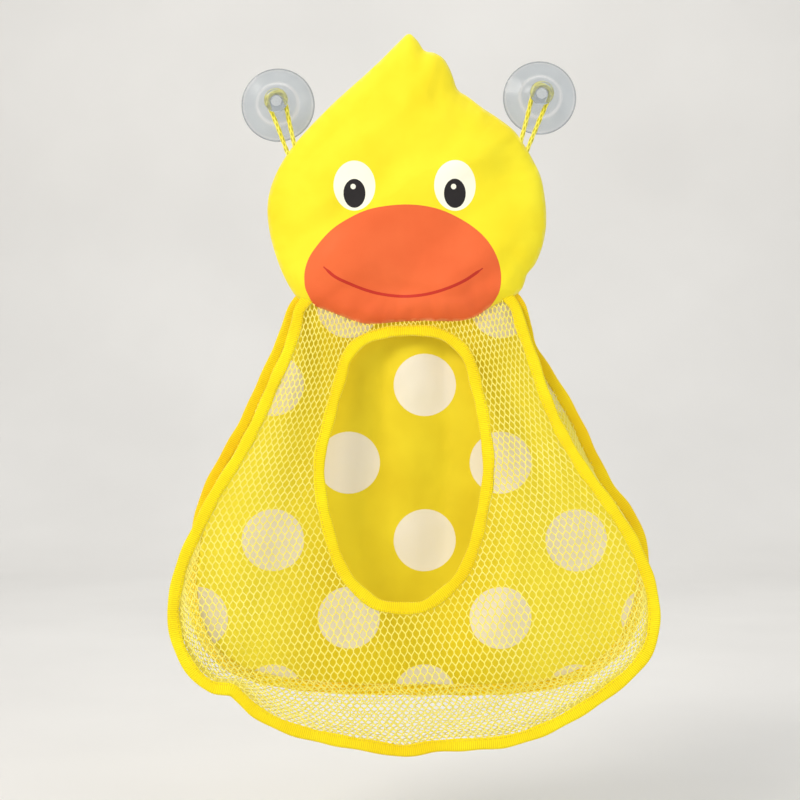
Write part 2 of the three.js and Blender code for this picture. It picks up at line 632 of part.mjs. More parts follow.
const mouthMiddle = at(MOUTH_OFFSET, 0, mouthTop - MOUTH_HEIGHT / 2);
const panelMiddle = at(0, BACK_BELLY_DEPTH, bagTop - BAG_HEIGHT / 2);

// The seam below the head, between the tapes and from right to left, a clearance under the head
// and at one depth.
function chinEdge(depth) {
  return offsetLine(chinLine, CLEARANCE, false).slice(1, -2).reverse()
    .map((point) => at(point.x, depth, point.z));
}

// The point of the mouth that is seen from its middle in the same direction as the place.
function mouthTowards(place) {
  const bearing = Math.atan2(place.z - mouthMiddle.z, place.x - mouthMiddle.x);
  let best = null;
  let least = Infinity;
  for (const point of mouthLine) {
    const other = Math.atan2(point.z - mouthMiddle.z, point.x - mouthMiddle.x);
    const apart = Math.abs(Math.atan2(Math.sin(other - bearing), Math.cos(other - bearing)));
    if (apart < least) {
      least = apart;
      best = point;
    }
  }
  return best.clone();
}

// Frames along a line: width points from the line towards its target, normal points forwards.
function framesAlong(line, targets, closed) {
  return line.map((place, index) => {
    const before = line[closed ? (index + line.length - 1) % line.length : Math.max(index - 1, 0)];
    const after = line[closed ? (index + 1) % line.length : Math.min(index + 1, line.length - 1)];
    const along = after.clone().sub(before).normalize();
    const width = targets[index].clone().sub(place);
    width.addScaledVector(along, -width.dot(along)).normalize();
    return { place, width, normal: facing(width.clone().cross(along).normalize(), FORWARD) };
  });
}

// The folded tape: two plies and the fold that joins them, open towards its width direction.
function tapeSection(sheet) {
  const half = TAPE_WIDTH / 2;
  const slot = sheet / 2 + CLEARANCE;
  const face = slot + TAPE_FOLD;
  return [
    [-half, -face], [half, -face], [half, -slot], [TAPE_FOLD - half, -slot],
    [TAPE_FOLD - half, slot], [half, slot], [half, face], [-half, face],
  ];
}

const tapeFace = (sheet) => sheet / 2 + CLEARANCE + TAPE_FOLD;
const slotEnd = CLEARANCE + TAPE_FOLD - TAPE_WIDTH / 2;
const shifted = ({ place, width }, distance) => place.clone().addScaledVector(width, distance);

// The same frames with one more at each end, for the sheet that leaves the tape there.
function runOut(frames) {
  const beyond = (end, next) => {
    const outwards = end.place.clone().sub(next.place).normalize();
    return { ...end, place: end.place.clone().addScaledVector(outwards, EDGE_RUNOUT) };
  };
  const final = frames.length - 1;
  return [beyond(frames[0], frames[1]), ...frames, beyond(frames[final], frames[final - 1])];
}

const frontFrames = framesAlong(frontEdge, frontEdge.map(mouthTowards), false);
const backFrames = framesAlong(backEdge, backEdge.map(() => panelMiddle), false);
const netFrames = runOut(frontFrames);
const panelFrames = runOut(backFrames);
const netChin = chinEdge(headSeamDepth + CLEARANCE / 2 + HEAD_FABRIC / 2);
const netRim = [...netFrames.map(({ place }) => place), ...netChin];
const mouthRim = netRim.map(mouthTowards);
const mouthFrames = framesAlong(mouthRim, netRim, true);

// Normals of a grid of rings, each on either side of the sheet.
function gridNormals(rings, wrap) {
  const count = rings[0].length;
  return rings.map((ring, row) => ring.map((point, step) => {
    const inner = rings[Math.max(row - 1, 0)][step];
    const outer = rings[Math.min(row + 1, rings.length - 1)][step];
    const before = ring[wrap ? (step + count - 1) % count : Math.max(step - 1, 0)];
    const after = ring[wrap ? (step + 1) % count : Math.min(step + 1, count - 1)];
    return outer.clone().sub(inner).cross(after.clone().sub(before)).normalize();
  }));
}

function thicken(rings, normals, thickness) {
  const shift = (distance) => rings.map((ring, row) => ring.map(
    (point, step) => point.clone().addScaledVector(normals[row][step], distance),
  ));
  return [shift(thickness / 2), shift(-thickness / 2)];
}

// How far the front net stands out of its straight span at this height.
const netSwell = (height) => lerp(
  SIDE_BULGE, BELLY_BULGE, smoothstep((bagTop - height) / BAG_HEIGHT, BULGE_START_SHARE, BULGE_FULL_SHARE),
);

// A point on the edge of a sheet, a turned hem further in.
const hemmed = (point, target, hem = CHIN_HEM) => point.clone().addScaledVector(
  target.clone().sub(point).normalize(), hem,
);

// The outlines of the net's openings: tall hexagons in staggered rows.
function netCells() {
  const pitch = BAG_WIDTH / NET_OPENINGS_ACROSS;
  const row = pitch * NET_ROW_SHARE;
  const size = (pitch - NET_BAR) / pitch;
  const cells = [];
  for (let down = 0; down * row < BAG_HEIGHT; down += 1) {
    for (let count = -NET_OPENINGS_ACROSS; count <= NET_OPENINGS_ACROSS; count += 2) {
      const across = ((count + (down % 2)) * pitch) / 2;
      const level = bagTop - down * row;
      cells.push(NET_CELL_CORNERS.map(([x, z]) => at(across + x * pitch * size, 0, level + z * row * size)));
    }
  }
  return cells;
}

// Cutter for the openings between two loops, the mouth's side and the rim's side of the free net.
function netOpenings(start, finish) {
  const reach = BAG_DEPTH + BELLY_BULGE + CUT_OVERRUN;
  const outer = finish.map((point, index) => hemmed(point, start[index], NET_HEM));
  const inner = start.map((point, index) => hemmed(point, finish[index], NET_HEM));
  const cells = netCells();
  const whole = blocks(cells, reach).volume() / cells.length;
  return blocks(cells, reach)
    .intersect(blocks([outer], reach).subtract(blocks([inner], reach)))
    .decompose()
    .filter((opening) => opening.volume() > whole * LEAST_OPENING_SHARE)
    .reduce((all, next) => all.add(next));
}

function frontNet() {
  const bound = netFrames.length;
  const start = mouthFrames.map((frame) => shifted(frame, TAPE_WIDTH / 2));
  const finish = netRim.map((point, index) => (
    index < bound ? shifted(netFrames[index], TAPE_WIDTH / 2) : hemmed(point, start[index])));
  const span = (share) => start.map((point, index) => {
    const place = point.clone().lerp(finish[index], share);
    const room = Math.min(point.distanceTo(finish[index]) / FREE_SPAN, 1);
    return place.addScaledVector(FORWARD, netSwell(place.z) * room * Math.sin(Math.PI * share) ** 2);
  });
  const rings = [
    mouthFrames.map((frame) => shifted(frame, slotEnd)),
    ...NET_RING_SHARES.map(span),
    netRim.map((point, index) => (index < bound ? shifted(netFrames[index], slotEnd) : point)),
  ];
  const normals = gridNormals(rings, true).map((ring, row) => ring.map((normal, step) => {
    if (row < TAPE_ROWS) return mouthFrames[step].normal;
    if (row >= rings.length - TAPE_ROWS && step < bound) return netFrames[step].normal;
    return facing(normal, FORWARD);
  }));
  const sheet = solid(slab(...thicken(rings, normals, NET_THICKNESS), { wrap: true }));
  return geometryOf(sheet.subtract(netOpenings(start, finish)));
}

function gussetNet() {
  const front = frontFrames.map(({ place, normal }) => (
    place.clone().addScaledVector(normal, -tapeFace(NET_THICKNESS) - CLEARANCE)));
  const back = backFrames.map(({ place, normal }) => (
    place.clone().addScaledVector(normal, tapeFace(PANEL_THICKNESS) + CLEARANCE)));
  const rows = GUSSET_ROW_SHARES.map((share) => front.map((point, step) => {
    const room = point.distanceTo(back[step]) / BAG_DEPTH;
    return point.clone().lerp(back[step], share)
      .addScaledVector(frontFrames[step].width, -GUSSET_BULGE * room * Math.sin(Math.PI * share));
  }));
  const normals = gridNormals(rows, false).map((row, index) => row.map((normal, step) => {
    if (index === 0) return frontFrames[step].width;
    if (index === rows.length - 1) return backFrames[step].width;
    return facing(normal, frontFrames[step].width);
  }));
  return slab(...thicken(rows, normals, NET_THICKNESS));
}

// How far the back panel's folds bring a place forwards, this far from the panel's edge.
function foldAt(place, away) {
  const down = (bagTop - place.z) / BAG_HEIGHT;
  const fan = place.x / (BACK_FOLD_PITCH * lerp(...FOLD_SPREAD_SHARES, down));
  const wave = Math.sin(2 * Math.PI * (fan + FOLD_START_TURN + FOLD_LEAN_TURN * down));
  const left = lerp(1, FOLD_FLOOR_SHARE, smoothstep(down, FOLD_FADE_SHARE, 1));
  return BACK_FOLD * wave * left * smoothstep(away, 0, BACK_FOLD_RISE);
}

function backPanel() {
  const chin = chinEdge(headSeamDepth - CLEARANCE / 2 - HEAD_FABRIC / 2);
  const rim = [...panelFrames.map((frame) => shifted(frame, slotEnd)), ...chin];
  const inside = [
    ...panelFrames.map((frame) => shifted(frame, TAPE_WIDTH / 2)),
    ...chin.map((point) => hemmed(point, panelMiddle)),
  ];
  const settled = (point, away) => at(point.x, backDepth(point.z) + foldAt(point, away), point.z);
  const inner = (share) => inside.map((point) => {
    const place = point.clone().lerp(panelMiddle, share);
    return settled(place, place.distanceTo(point));
  });
  const rings = [rim, inside, ...PANEL_RING_SHARES.map(inner)];
  const normals = rings.map((ring, row) => ring.map((point, step) => (
    row < TAPE_ROWS && step < panelFrames.length ? panelFrames[step].normal : FORWARD)));
  const middle = settled(panelMiddle, BACK_FOLD_RISE);
  return slab(...thicken(rings, normals, PANEL_THICKNESS), {
    wrap: true,
    centre: [1, -1].map((side) => middle.clone().addScaledVector(FORWARD, (side * PANEL_THICKNESS) / 2)),
  });
}

// The whole organizer

function named(name, geometry, finish) {
  const mesh = new THREE.Mesh(geometry, new THREE.MeshStandardMaterial(finish));
  mesh.name = name;
  return mesh;
}

function wallCups() {
  const group = new THREE.Group();
  for (const side of ['left', 'right']) {
    const cup = named(`suction_cup_${side}`, suctionCup(), FINISHES.clearPlastic);
    cup.position.copy(cupPlaces[side]);
    group.add(cup);
  }
  return group;
}

function printFinish(name) {
  if (name === 'head_front_panel') return FINISHES.headCloth;
  if (name === 'bill') return FINISHES.billPrint;
  if (name === 'smile') return FINISHES.smilePrint;
  return name.startsWith('pupil') ? FINISHES.blackPrint : FINISHES.whitePrint;
}

function head() {
  const group = new THREE.Group();
  for (const side of ['left', 'right']) {
    const loop = roundBar(cordPath(side), CORD_DIAMETER / 2, CORD_STEPS);
    group.add(named(`cord_loop_${side}`, loop, FINISHES.cord));
  }
  for (const [name, geometry] of Object.entries(headFrontPieces())) {
    group.add(named(name, geometry, printFinish(name)));
  }
  group.add(named('head_foam_sheet', foamSheet(), FINISHES.foam));
  group.add(named('head_back_panel', headBackPanel(), FINISHES.headCloth));
  return group;
}

function bag() {
  const group = new THREE.Group();
  const netTape = tapeSection(NET_THICKNESS);
  const panelTape = tapeSection(PANEL_THICKNESS);
  group.add(named('back_panel', backPanel(), FINISHES.panelCloth));
  group.add(named('front_net', frontNet(), FINISHES.net));
  group.add(named('gusset_net', gussetNet(), FINISHES.net));
  group.add(named('mouth_binding', band(mouthFrames, netTape, true), FINISHES.tape));
  group.add(named('front_edge_binding', band(frontFrames, netTape, false), FINISHES.tape));
  group.add(named('back_edge_binding', band(backFrames, panelTape, false), FINISHES.tape));
  return group;
}

const organizer = new THREE.Group();
organizer.add(wallCups(), head(), bag());

export default organizer;
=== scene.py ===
"""Hanging net organizer for bath toys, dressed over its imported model.

A padded duck head hangs by two cord loops from two clear suction cups. Below it hangs a
pear-shaped bag: a dotted back cloth, a front and a side wall of hexagonal net, and ribbed
binding tape round the mouth and along both edges. Metres, +Z up, the wall is the plane y = 0
and the bag hangs on its -Y side. A point's depth is its distance from the wall.
"""
import logging
import math
from dataclasses import dataclass, field
from enum import Enum
from typing import Iterable, Optional, Sequence

import bpy
import numpy as np
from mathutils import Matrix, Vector, noise
from mathutils.bvhtree import BVHTree
from mathutils.geometry import delaunay_2d_cdt
from mathutils.kdtree import KDTree


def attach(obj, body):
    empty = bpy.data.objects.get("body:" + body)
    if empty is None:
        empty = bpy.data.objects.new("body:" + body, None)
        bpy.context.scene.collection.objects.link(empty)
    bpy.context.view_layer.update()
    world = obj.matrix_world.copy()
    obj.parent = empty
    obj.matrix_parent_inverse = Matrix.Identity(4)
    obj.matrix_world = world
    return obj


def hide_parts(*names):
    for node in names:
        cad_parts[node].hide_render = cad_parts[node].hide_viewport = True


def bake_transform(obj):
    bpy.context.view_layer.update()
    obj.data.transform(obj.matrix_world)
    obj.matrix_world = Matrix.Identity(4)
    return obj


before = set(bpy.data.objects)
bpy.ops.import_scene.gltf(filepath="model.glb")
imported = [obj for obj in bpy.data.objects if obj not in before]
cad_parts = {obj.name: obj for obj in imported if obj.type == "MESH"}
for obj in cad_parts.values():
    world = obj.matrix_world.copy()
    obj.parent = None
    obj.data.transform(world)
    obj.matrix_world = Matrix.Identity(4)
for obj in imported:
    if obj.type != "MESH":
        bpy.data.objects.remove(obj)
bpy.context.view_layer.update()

LOG = logging.getLogger("organizer")
MM = 0.001
RIM_ANGLE = math.radians(50)
CURVE_STEPS = 24
BATCH = 2000
FINE_SHARE, FINE_RATIO = 0.4, 2.3
Pairs = tuple[tuple[float, ...], ...]
Array = np.ndarray
Piece = bpy.types.Object
Socket = bpy.types.NodeSocket
Node = bpy.types.Node
Finish = bpy.types.Material


class Body(Enum):
    """The bodies that pieces move with."""

    CUPS = "wall_cups"
    HEAD = "head"
    BAG = "bag"


class Side(Enum):
    """The two ends of the head, and which way each lies along X."""

    LEFT = -1
    RIGHT = 1

    @property
    def label(self) -> str:
        """The word used in piece names."""
        return self.name.lower()


class Slot(Enum):
    """Material slots of the record."""

    CLEAR_PVC = "clear_pvc"
    CORD = "yellow_cord"
    CLOTH = "yellow_cloth"
    FOAM = "foam"
    ORANGE = "orange_print"
    RED = "red_print"
    WHITE = "white_print"
    BLACK = "black_print"
    DOTTED = "dotted_cloth"
    NET = "yellow_net"
    TAPE = "binding_tape"


# ---- lines and outlines


def at(across: float, depth: float, height: float) -> Array:
    """A place from its distance across, its distance from the wall and its height."""
    return np.array([across, -depth, height], dtype=float)


def unit(ways: Array) -> Array:
    """The same directions, each with a length of 1."""
    return ways / np.linalg.norm(ways, axis=1, keepdims=True)


def travelled(line: Array) -> Array:
    """How far along a line each of its points lies."""
    steps = np.linalg.norm(np.diff(line, axis=0), axis=1)
    return np.concatenate([[0], np.cumsum(steps)])


def evenly(line: Array, count: int, closed: bool = False) -> Array:
    """Resample a line of points evenly by length.

    Args:
        line: Points along the line.
        count: Number of points wanted.
        closed: Whether the line returns to its first point, which isn't repeated.

    Returns:
        The resampled points.
    """
    if closed:
        line = np.vstack([line, line[:1]])
    along = travelled(line)
    wanted = np.linspace(0, along[-1], count, endpoint=not closed)
    return np.column_stack([np.interp(wanted, along, line[:, axis]) for axis in range(line.shape[1])])


def smooth_line(points: Sequence[Sequence[float]], count: int, closed: bool = False) -> Array:
    """Run a centripetal curve through points and resample it evenly.

    Args:
        points: Points that the curve passes through.
        count: Number of points wanted.
        closed: Whether the curve returns to its first point.

    Returns:
        Points spaced evenly along the curve.
    """
    given = np.asarray(points, dtype=float)
    if closed:
        before, start = np.roll(given, 1, axis=0), given
        after, beyond = np.roll(given, -1, axis=0), np.roll(given, -2, axis=0)
    else:
        wide = np.vstack([2 * given[0] - given[1], given, 2 * given[-1] - given[-2]])
        before, start, after, beyond = wide[:-3], wide[1:-2], wide[2:-1], wide[3:]

    def gap(one: Array, other: Array) -> Array:
        """Square root of the distance between matching points."""
        return np.sqrt(np.linalg.norm(other - one, axis=1, keepdims=True))

    first, middle, final = gap(before, start), gap(start, after), gap(after, beyond)
    leave = (start - before) / first - (after - before) / (first + middle) + (after - start) / middle
    arrive = (after - start) / middle - (beyond - start) / (middle + final) + (beyond - after) / final
    leave, arrive = leave * middle, arrive * middle
    share = np.linspace(0, 1, CURVE_STEPS, endpoint=False)[None, :, None]
    begin, finish = start[:, None], after[:, None]
    leave, arrive = leave[:, None], arrive[:, None]
    square = -3 * begin + 3 * finish - 2 * leave - arrive
    cube = 2 * begin - 2 * finish + leave + arrive
    fine = (begin + leave * share + square * share**2 + cube * share**3).reshape(-1, given.shape[1])
    return evenly(fine if closed else np.vstack([fine, given[-1:]]), count, closed)


def smoothstep(value: Array, low: float, high: float) -> Array:
    """Rise smoothly from 0 at low to 1 at high."""
    share = np.clip((np.asarray(value, dtype=float) - low) / (high - low), 0, 1)
    return share * share * (3 - 2 * share)


def distances(points: Array, line: Array, closed: bool) -> Array:
    """Distance of each flat point from a line.

    Args:
        points: Points as (across, height).
        line: Points of the line, the same way.
        closed: Whether the line returns to its first point.

    Returns:
        One distance for each point.
    """
    starts = line if closed else line[:-1]
    ends = np.roll(line, -1, axis=0) if closed else line[1:]
    run = ends - starts
    length = np.maximum((run**2).sum(axis=1), 1e-18)
    nearest = np.full(len(points), np.inf)
    for begin in range(0, len(points), BATCH):
        part = points[begin:begin + BATCH, None, :]
        share = np.clip(((part - starts) * run).sum(axis=2) / length, 0, 1)
        foot = starts + share[..., None] * run
        nearest[begin:begin + BATCH] = np.linalg.norm(part - foot, axis=2).min(axis=1)
    return nearest


def inside(points: Array, outline: Array) -> Array:
    """Whether each flat point lies inside a closed outline.

    Args:
        points: Points as (across, height).
        outline: Points of the outline, the same way.

    Returns:
        One truth value for each point.
    """
    result = np.zeros(len(points), dtype=bool)
    for (x0, z0), (x1, z1) in zip(outline, np.roll(outline, -1, axis=0)):
        if z0 == z1:
            continue
        crosses = (z0 > points[:, 1]) != (z1 > points[:, 1])
        result ^= crosses & (points[:, 0] < (x1 - x0) * (points[:, 1] - z0) / (z1 - z0) + x0)
    return result


def lattice(outline: Array, pitch: float) -> Array:
    """Points of a triangular lattice over the box of an outline.

    Args:
        outline: Points as (across, height).
        pitch: Distance between neighbours.

    Returns:
        Points as (across, height).
    """
    low, high = outline.min(axis=0), outline.max(axis=0)
    rows = np.arange(low[1], high[1], pitch * math.sqrt(0.75))
    columns = np.arange(low[0], high[0], pitch)
    return np.array([(x + (row % 2) * pitch / 2, z) for row, z in enumerate(rows) for x in columns])


def ripple(points: Array, scale: float, seed: float) -> Array:
    """Soft noise from -1 to 1 at flat points.

    Args:
        points: Points as (across, height).
        scale: Size of the largest forms, in metres.
        seed: Offset that picks one pattern.

    Returns:
        One value for each point.
    """
    return np.array([
        noise.noise(Vector((x / scale, seed, z / scale)))
        + FINE_SHARE * noise.noise(Vector((FINE_RATIO * x / scale, seed + 7, FINE_RATIO * z / scale)))
        for x, z in points
    ])


# ---- meshes


def placed(name: str, data: bpy.types.ID) -> Piece:
    """Make an object from its data and link it into the scene.

    Args:
        name: Its name.
        data: Mesh, light or camera.

    Returns:
        The object.
    """
    piece = bpy.data.objects.new(name, data)
    bpy.context.scene.collection.objects.link(piece)
    return piece


def mesh_object(
    name: str,
    points: Array,
    faces: Iterable[Sequence[int]],
    flat: Optional[Array] = None,
    values: Optional[dict[str, Array]] = None,
) -> Piece:
    """Make a smooth mesh object at the origin.

    Args:
        name: Name of the piece.
        points: Places of its points.
        faces: Faces as lists of point numbers.
        flat: Own map of the surface, one pair for each point.
        values: Named numbers, one for each point.

    Returns:
        The linked object.
    """
    mesh = bpy.data.meshes.new(name)
    mesh.from_pydata(np.asarray(points).tolist(), [], [list(map(int, face)) for face in faces])
    mesh.validate()
    mesh.polygons.foreach_set("use_smooth", [True] * len(mesh.polygons))
    if flat is not None:
        corners = np.empty(len(mesh.loops), dtype=np.int32)
        mesh.loops.foreach_get("vertex_index", corners)
        mesh.uv_layers.new(name="cloth_map").data.foreach_set(
            "uv", flat[corners].astype(np.float32).ravel()
        )
    for label, numbers in (values or {}).items():
        layer = mesh.attributes.new(label, "FLOAT", "POINT")
        layer.data.foreach_set("value", np.asarray(numbers, dtype=np.float32))
    mesh.update()
    return placed(name, mesh)


def grid_faces(rows: int, columns: int, wrap_rows: bool, wrap_columns: bool) -> list[tuple[int, ...]]:
    """Faces of a grid of points that is stored row by row.

    Args:
        rows: Number of rows.
        columns: Points in each row.
        wrap_rows: Whether the last row joins the first.
        wrap_columns: Whether each row joins its ends.

    Returns:
        Faces as point numbers.
    """
    faces = []
    for row in range(rows if wrap_rows else rows - 1):
        near, far = row * columns, (row + 1) % rows * columns
        for column in range(columns if wrap_columns else columns - 1):
            following = (column + 1) % columns
            faces.append((near + column, near + following, far + following, far + column))
    return faces


def end_caps(rings: int, sides: int) -> list[tuple[int, ...]]:
    """Faces that close both ends of a tube made of rings of points."""
    total = rings * sides
    return [tuple(range(sides)), tuple(range(total - sides, total))[::-1]]


def face_outwards(piece: Piece) -> Piece:
    """Turn the faces of a closed mesh outwards and return it.

    Args:
        piece: The mesh object.

    Returns:
        The same object.
    """
    mesh = piece.data
    mesh.calc_loop_triangles()
    volume = 0.0
    for triangle in mesh.loop_triangles:
        a, b, c = (mesh.vertices[index].co for index in triangle.vertices)
        volume += a.dot(b.cross(c))
    if volume < 0:
        mesh.flip_normals()
    mesh.update()
    return piece


def plain_copy(piece: Piece) -> Piece:
    """Replace an object by the plain mesh that its modifiers give.

    Args:
        piece: Object with live modifiers.

    Returns:
        A new object of the same name with no modifier.
    """
    graph = bpy.context.evaluated_depsgraph_get()
    graph.update()
    mesh = bpy.data.meshes.new_from_object(
        piece.evaluated_get(graph), preserve_all_data_layers=True, depsgraph=graph
    )
    name = piece.name
    source = piece.data
    bpy.data.objects.remove(piece)
    if source.users == 0:
        bpy.data.meshes.remove(source)
    mesh.name = name
    return placed(name, mesh)


@dataclass
class FlatSheet:
    """A flat shape cut into triangles, whose lines are kept as edges."""

    outline: Array
    lines: list[Array]
    pitch: float

    def cut(self) -> tuple[Array, Array]:
        """Cut the shape into triangles.

        Returns:
            Points as (across, height), and triangles as point numbers.
        """
        inner = lattice(self.outline, self.pitch)
        inner = inner[inside(inner, self.outline)]
        inner = inner[distances(inner, self.outline, True) > self.pitch * 0.5]
        points, edges = [tuple(point) for point in self.outline], []
        count = len(points)
        edges += [(index, (index + 1) % count) for index in range(count)]
        for line in self.lines:
            closed = np.allclose(line[0], line[-1])
            kept = line[:-1] if closed else line
            start = len(points)
            points += [tuple(point) for point in kept]
            edges += [(start + index, start + index + 1) for index in range(len(kept) - 1)]
            if closed:
                edges.append((start + len(kept) - 1, start))
            inner = inner[distances(inner, line, False) > self.pitch * 0.45]
        points += [tuple(point) for point in inner]
        made = delaunay_2d_cdt([Vector(point) for point in points], edges, [], 0, 1e-7)
        places = np.array([tuple(point) for point in made[0]])
        triangles = np.array([tuple(face) for face in made[2]])
        kept = inside(places[triangles].mean(axis=1), self.outline)
        return places, triangles[kept]


def two_sided(
    name: str,
    flat: Array,
    triangles: Array,
    front: Array,
    back: Array,
    values: Optional[dict[str, Array]] = None,
) -> Piece:
    """Make a closed sheet from its front and back skins.

    Args:
        name: Name of the piece.
        flat: Points as (across, height).
        triangles: Triangles as point numbers.
        front: Depth of each point's front skin.
        back: Depth of each point's back skin.
        values: Named numbers, one for each flat point.

    Returns:
        The closed mesh, facing outwards.
    """
    used = np.unique(triangles)
    number = np.full(len(flat), -1)
    number[used] = np.arange(len(used))
    faces = number[triangles]
    count = len(used)
    skins = [np.column_stack([flat[used, 0], -depth[used], flat[used, 1]]) for depth in (front, back)]
    sides: dict[tuple[int, int], int] = {}
    for a, b, c in faces:
        for edge in ((a, b), (b, c), (c, a)):
            sides[edge] = sides.get(edge, 0) + 1
    rim = [edge for edge in sides if (edge[1], edge[0]) not in sides]
    shell = [tuple(face) for face in faces]
    shell += [tuple(face[::-1] + count) for face in faces]
    shell += [(b, a, a + count, b + count) for a, b in rim]
    doubled = {label: np.tile(numbers[used], 2) for label, numbers in (values or {}).items()}
    piece = mesh_object(name, np.vstack(skins), shell, np.tile(flat[used], (2, 1)), doubled)
    piece.data.set_sharp_from_angle(angle=RIM_ANGLE)
    return face_outwards(piece)


# ---- materials


def colour(code: str) -> tuple[float, float, float, float]:
    """A scene-linear colour from its web code."""
    parts = (int(code[index:index + 2], 16) / 255 for index in (0, 2, 4))
    return (*(part / 12.92 if part <= 0.04045 else ((part + 0.055) / 1.055) ** 2.4 for part in parts), 1.0)


class Tree:
    """A node tree that is built step by step."""

    nodes: bpy.types.Nodes
    links: bpy.types.NodeLinks

    def feed(self, socket: Socket, value: object) -> None:
        """Link a socket to an output, or set it to a plain value.

        Args:
            socket: The input.
            value: Output or value.
        """
        if isinstance(value, Socket):
            self.links.new(value, socket)
        else:
            socket.default_value = value

    def node(self, kind: str, inputs: dict[object, object], **options: object) -> Node:
        """Add a node.

        Args:
            kind: Type of the node.
            inputs: Values or outputs for its sockets, by name or number.
            options: Settings of the node itself.

        Returns:
            The new node.
        """
        made = self.nodes.new(kind)
        for option, value in options.items():
            setattr(made, option, value)
        for name, value in inputs.items():
            self.feed(made.inputs[name], value)
        return made

    def math(self, operation: str, one: object, other: object = 0.0) -> Socket:
        """The result of a sum on one or two numbers."""
        return self.node("ShaderNodeMath", {0: one, 1: other}, operation=operation).outputs[0]


class Recipe(Tree):
    """The node tree of one material, built step by step."""

    def __init__(self, name: str) -> None:
        """Start a material with one main shader.

        Args:
            name: Name of the material.
        """
        self.material = bpy.data.materials.new(name)
        self.material.use_nodes = True
        self.nodes = self.material.node_tree.nodes
        self.links = self.material.node_tree.links
        self.nodes.clear()
        self.shader = self.nodes.new("ShaderNodeBsdfPrincipled")
        output = self.nodes.new("ShaderNodeOutputMaterial")
        self.links.new(self.shader.outputs["BSDF"], output.inputs["Surface"])

    def place(self) -> Socket:
        """The place of a point on its own piece."""
        return self.node("ShaderNodeTexCoord", {}).outputs["Object"]

    def attribute(self, name: str) -> Socket:
        """A number that the mesh holds for each point."""
        return self.node("ShaderNodeAttribute", {}, attribute_name=name).outputs["Fac"]

    def cloth_map(self) -> Socket:
        """The piece's own map of its surface."""
        return self.node("ShaderNodeUVMap", {}, uv_map="cloth_map").outputs["UV"]

    def noise(self, place: object, scale: float, detail: float = 3.0) -> Socket:
        """Soft noise from 0 to 1."""
        inputs = {"Vector": place, "Scale": scale, "Detail": detail}
        return self.node("ShaderNodeTexNoise", inputs).outputs["Fac"]

    def spread(self, value: object, low: float, high: float, to: tuple[float, float]) -> Socket:
        """Map a number from one range to another, and keep it there."""
        inputs = {"Value": value, "From Min": low, "From Max": high, "To Min": to[0], "To Max": to[1]}
        return self.node("ShaderNodeMapRange", inputs).outputs["Result"]

    def mix(self, share: object, one: object, other: object) -> Socket:
        """Mix two colours."""
        inputs = {"Factor": share, 6: one, 7: other}
        return self.node("ShaderNodeMix", inputs, data_type="RGBA").outputs[2]

    def parts(self, place: object) -> Node:
        """A place as three numbers."""
        return self.node("ShaderNodeSeparateXYZ", {"Vector": place})

    def shades(
        self, height: object, span: tuple[float, float], most: float, base: str, shade: str,
    ) -> Socket:
        """A colour that turns into another as a height rises.

        Args:
            height: Height from 0 to 1.
            span: Heights between which it turns.
            most: Share of the other colour at the end.
            base: Code of the first colour.
            shade: Code of the other.

        Returns:
            The colour.
        """
        return self.mix(self.spread(height, *span, (0.0, most)), colour(base), colour(shade))

    def plain_weave(self, parts: Node, thread: float) -> Socket:
        """The height of a plain weave over a flat cloth."""
        warp, weft = (self.threads(parts.outputs[axis], thread) for axis in "XZ")
        return self.math("MULTIPLY", warp, weft)

    def threads(self, across: object, pitch: float) -> Socket:
        """Round ridges a pitch apart, from 0 to 1, along one direction."""
        turned = self.math("MULTIPLY", across, math.pi / pitch)
        return self.math("ABSOLUTE", self.math("SINE", turned))

    def bump(self, height: object, distance: float, strength: float, below: object = None) -> Socket:
        """A normal that follows a height.

        Args:
            height: Height from 0 to 1.
            distance: Real height of the relief, in metres.
            strength: How much of it shows.
            below: Normal that this one lies on.

        Returns:
            The normal.
        """
        inputs = {"Height": height, "Distance": distance, "Strength": strength}
        if below is not None:
            inputs["Normal"] = below
        return self.node("ShaderNodeBump", inputs).outputs["Normal"]

    def finish(self, **inputs: object) -> Finish:
        """Feed the main shader and return the material.

        Args:
            inputs: Values or outputs, by socket name with _ for a space.

        Returns:
            The material.
        """
        for name, value in inputs.items():
            self.feed(self.shader.inputs[name.replace("_", " ")], value)
        return self.material


@dataclass(frozen=True)
class WovenCloth:
    """Plain-woven polyester, plain or printed."""

    name: str
    base: str
    shade: str
    thread: float = 0.45 * MM
    sheen: float = 0.14
    relief: float = 0.35

    def make(self) -> Finish:
        """Build the material.

        Returns:
            A cloth with a fine weave, painted shade between its threads, soft colour changes and worn
            edges.
        """
        recipe = Recipe(self.name)
        place = recipe.place()
        parts = recipe.parts(place)
        weave = recipe.plain_weave(parts, self.thread)
        cloud = recipe.noise(place, 22.0)
        tint = recipe.shades(cloud, (0.35, 0.7), 0.75, self.base, self.shade)
        # Painted shade: the cloth turns towards its darker colour in the gaps between the threads.
        shaded_gaps = recipe.mix(recipe.spread(weave, 0.0, 0.5, (0.16, 0.0)), tint, colour(self.shade))
        worn = recipe.math("MULTIPLY", recipe.attribute("edge"), recipe.noise(place, 160.0))
        rubbed = recipe.mix(recipe.spread(worn, 0.25, 0.7, (0.0, 0.3)), shaded_gaps, colour("fff6b8"))
        fine = recipe.bump(weave, 0.12 * MM, self.relief)
        soft = recipe.bump(recipe.noise(place, 90.0), 0.5 * MM, 0.3, fine)
        return recipe.finish(
            Base_Color=rubbed,
            Roughness=recipe.spread(cloud, 0.2, 0.8, (0.62, 0.8)),
            Normal=soft,
            Sheen_Weight=self.sheen,
            Sheen_Roughness=0.45,
            Specular_IOR_Level=0.28,
        )


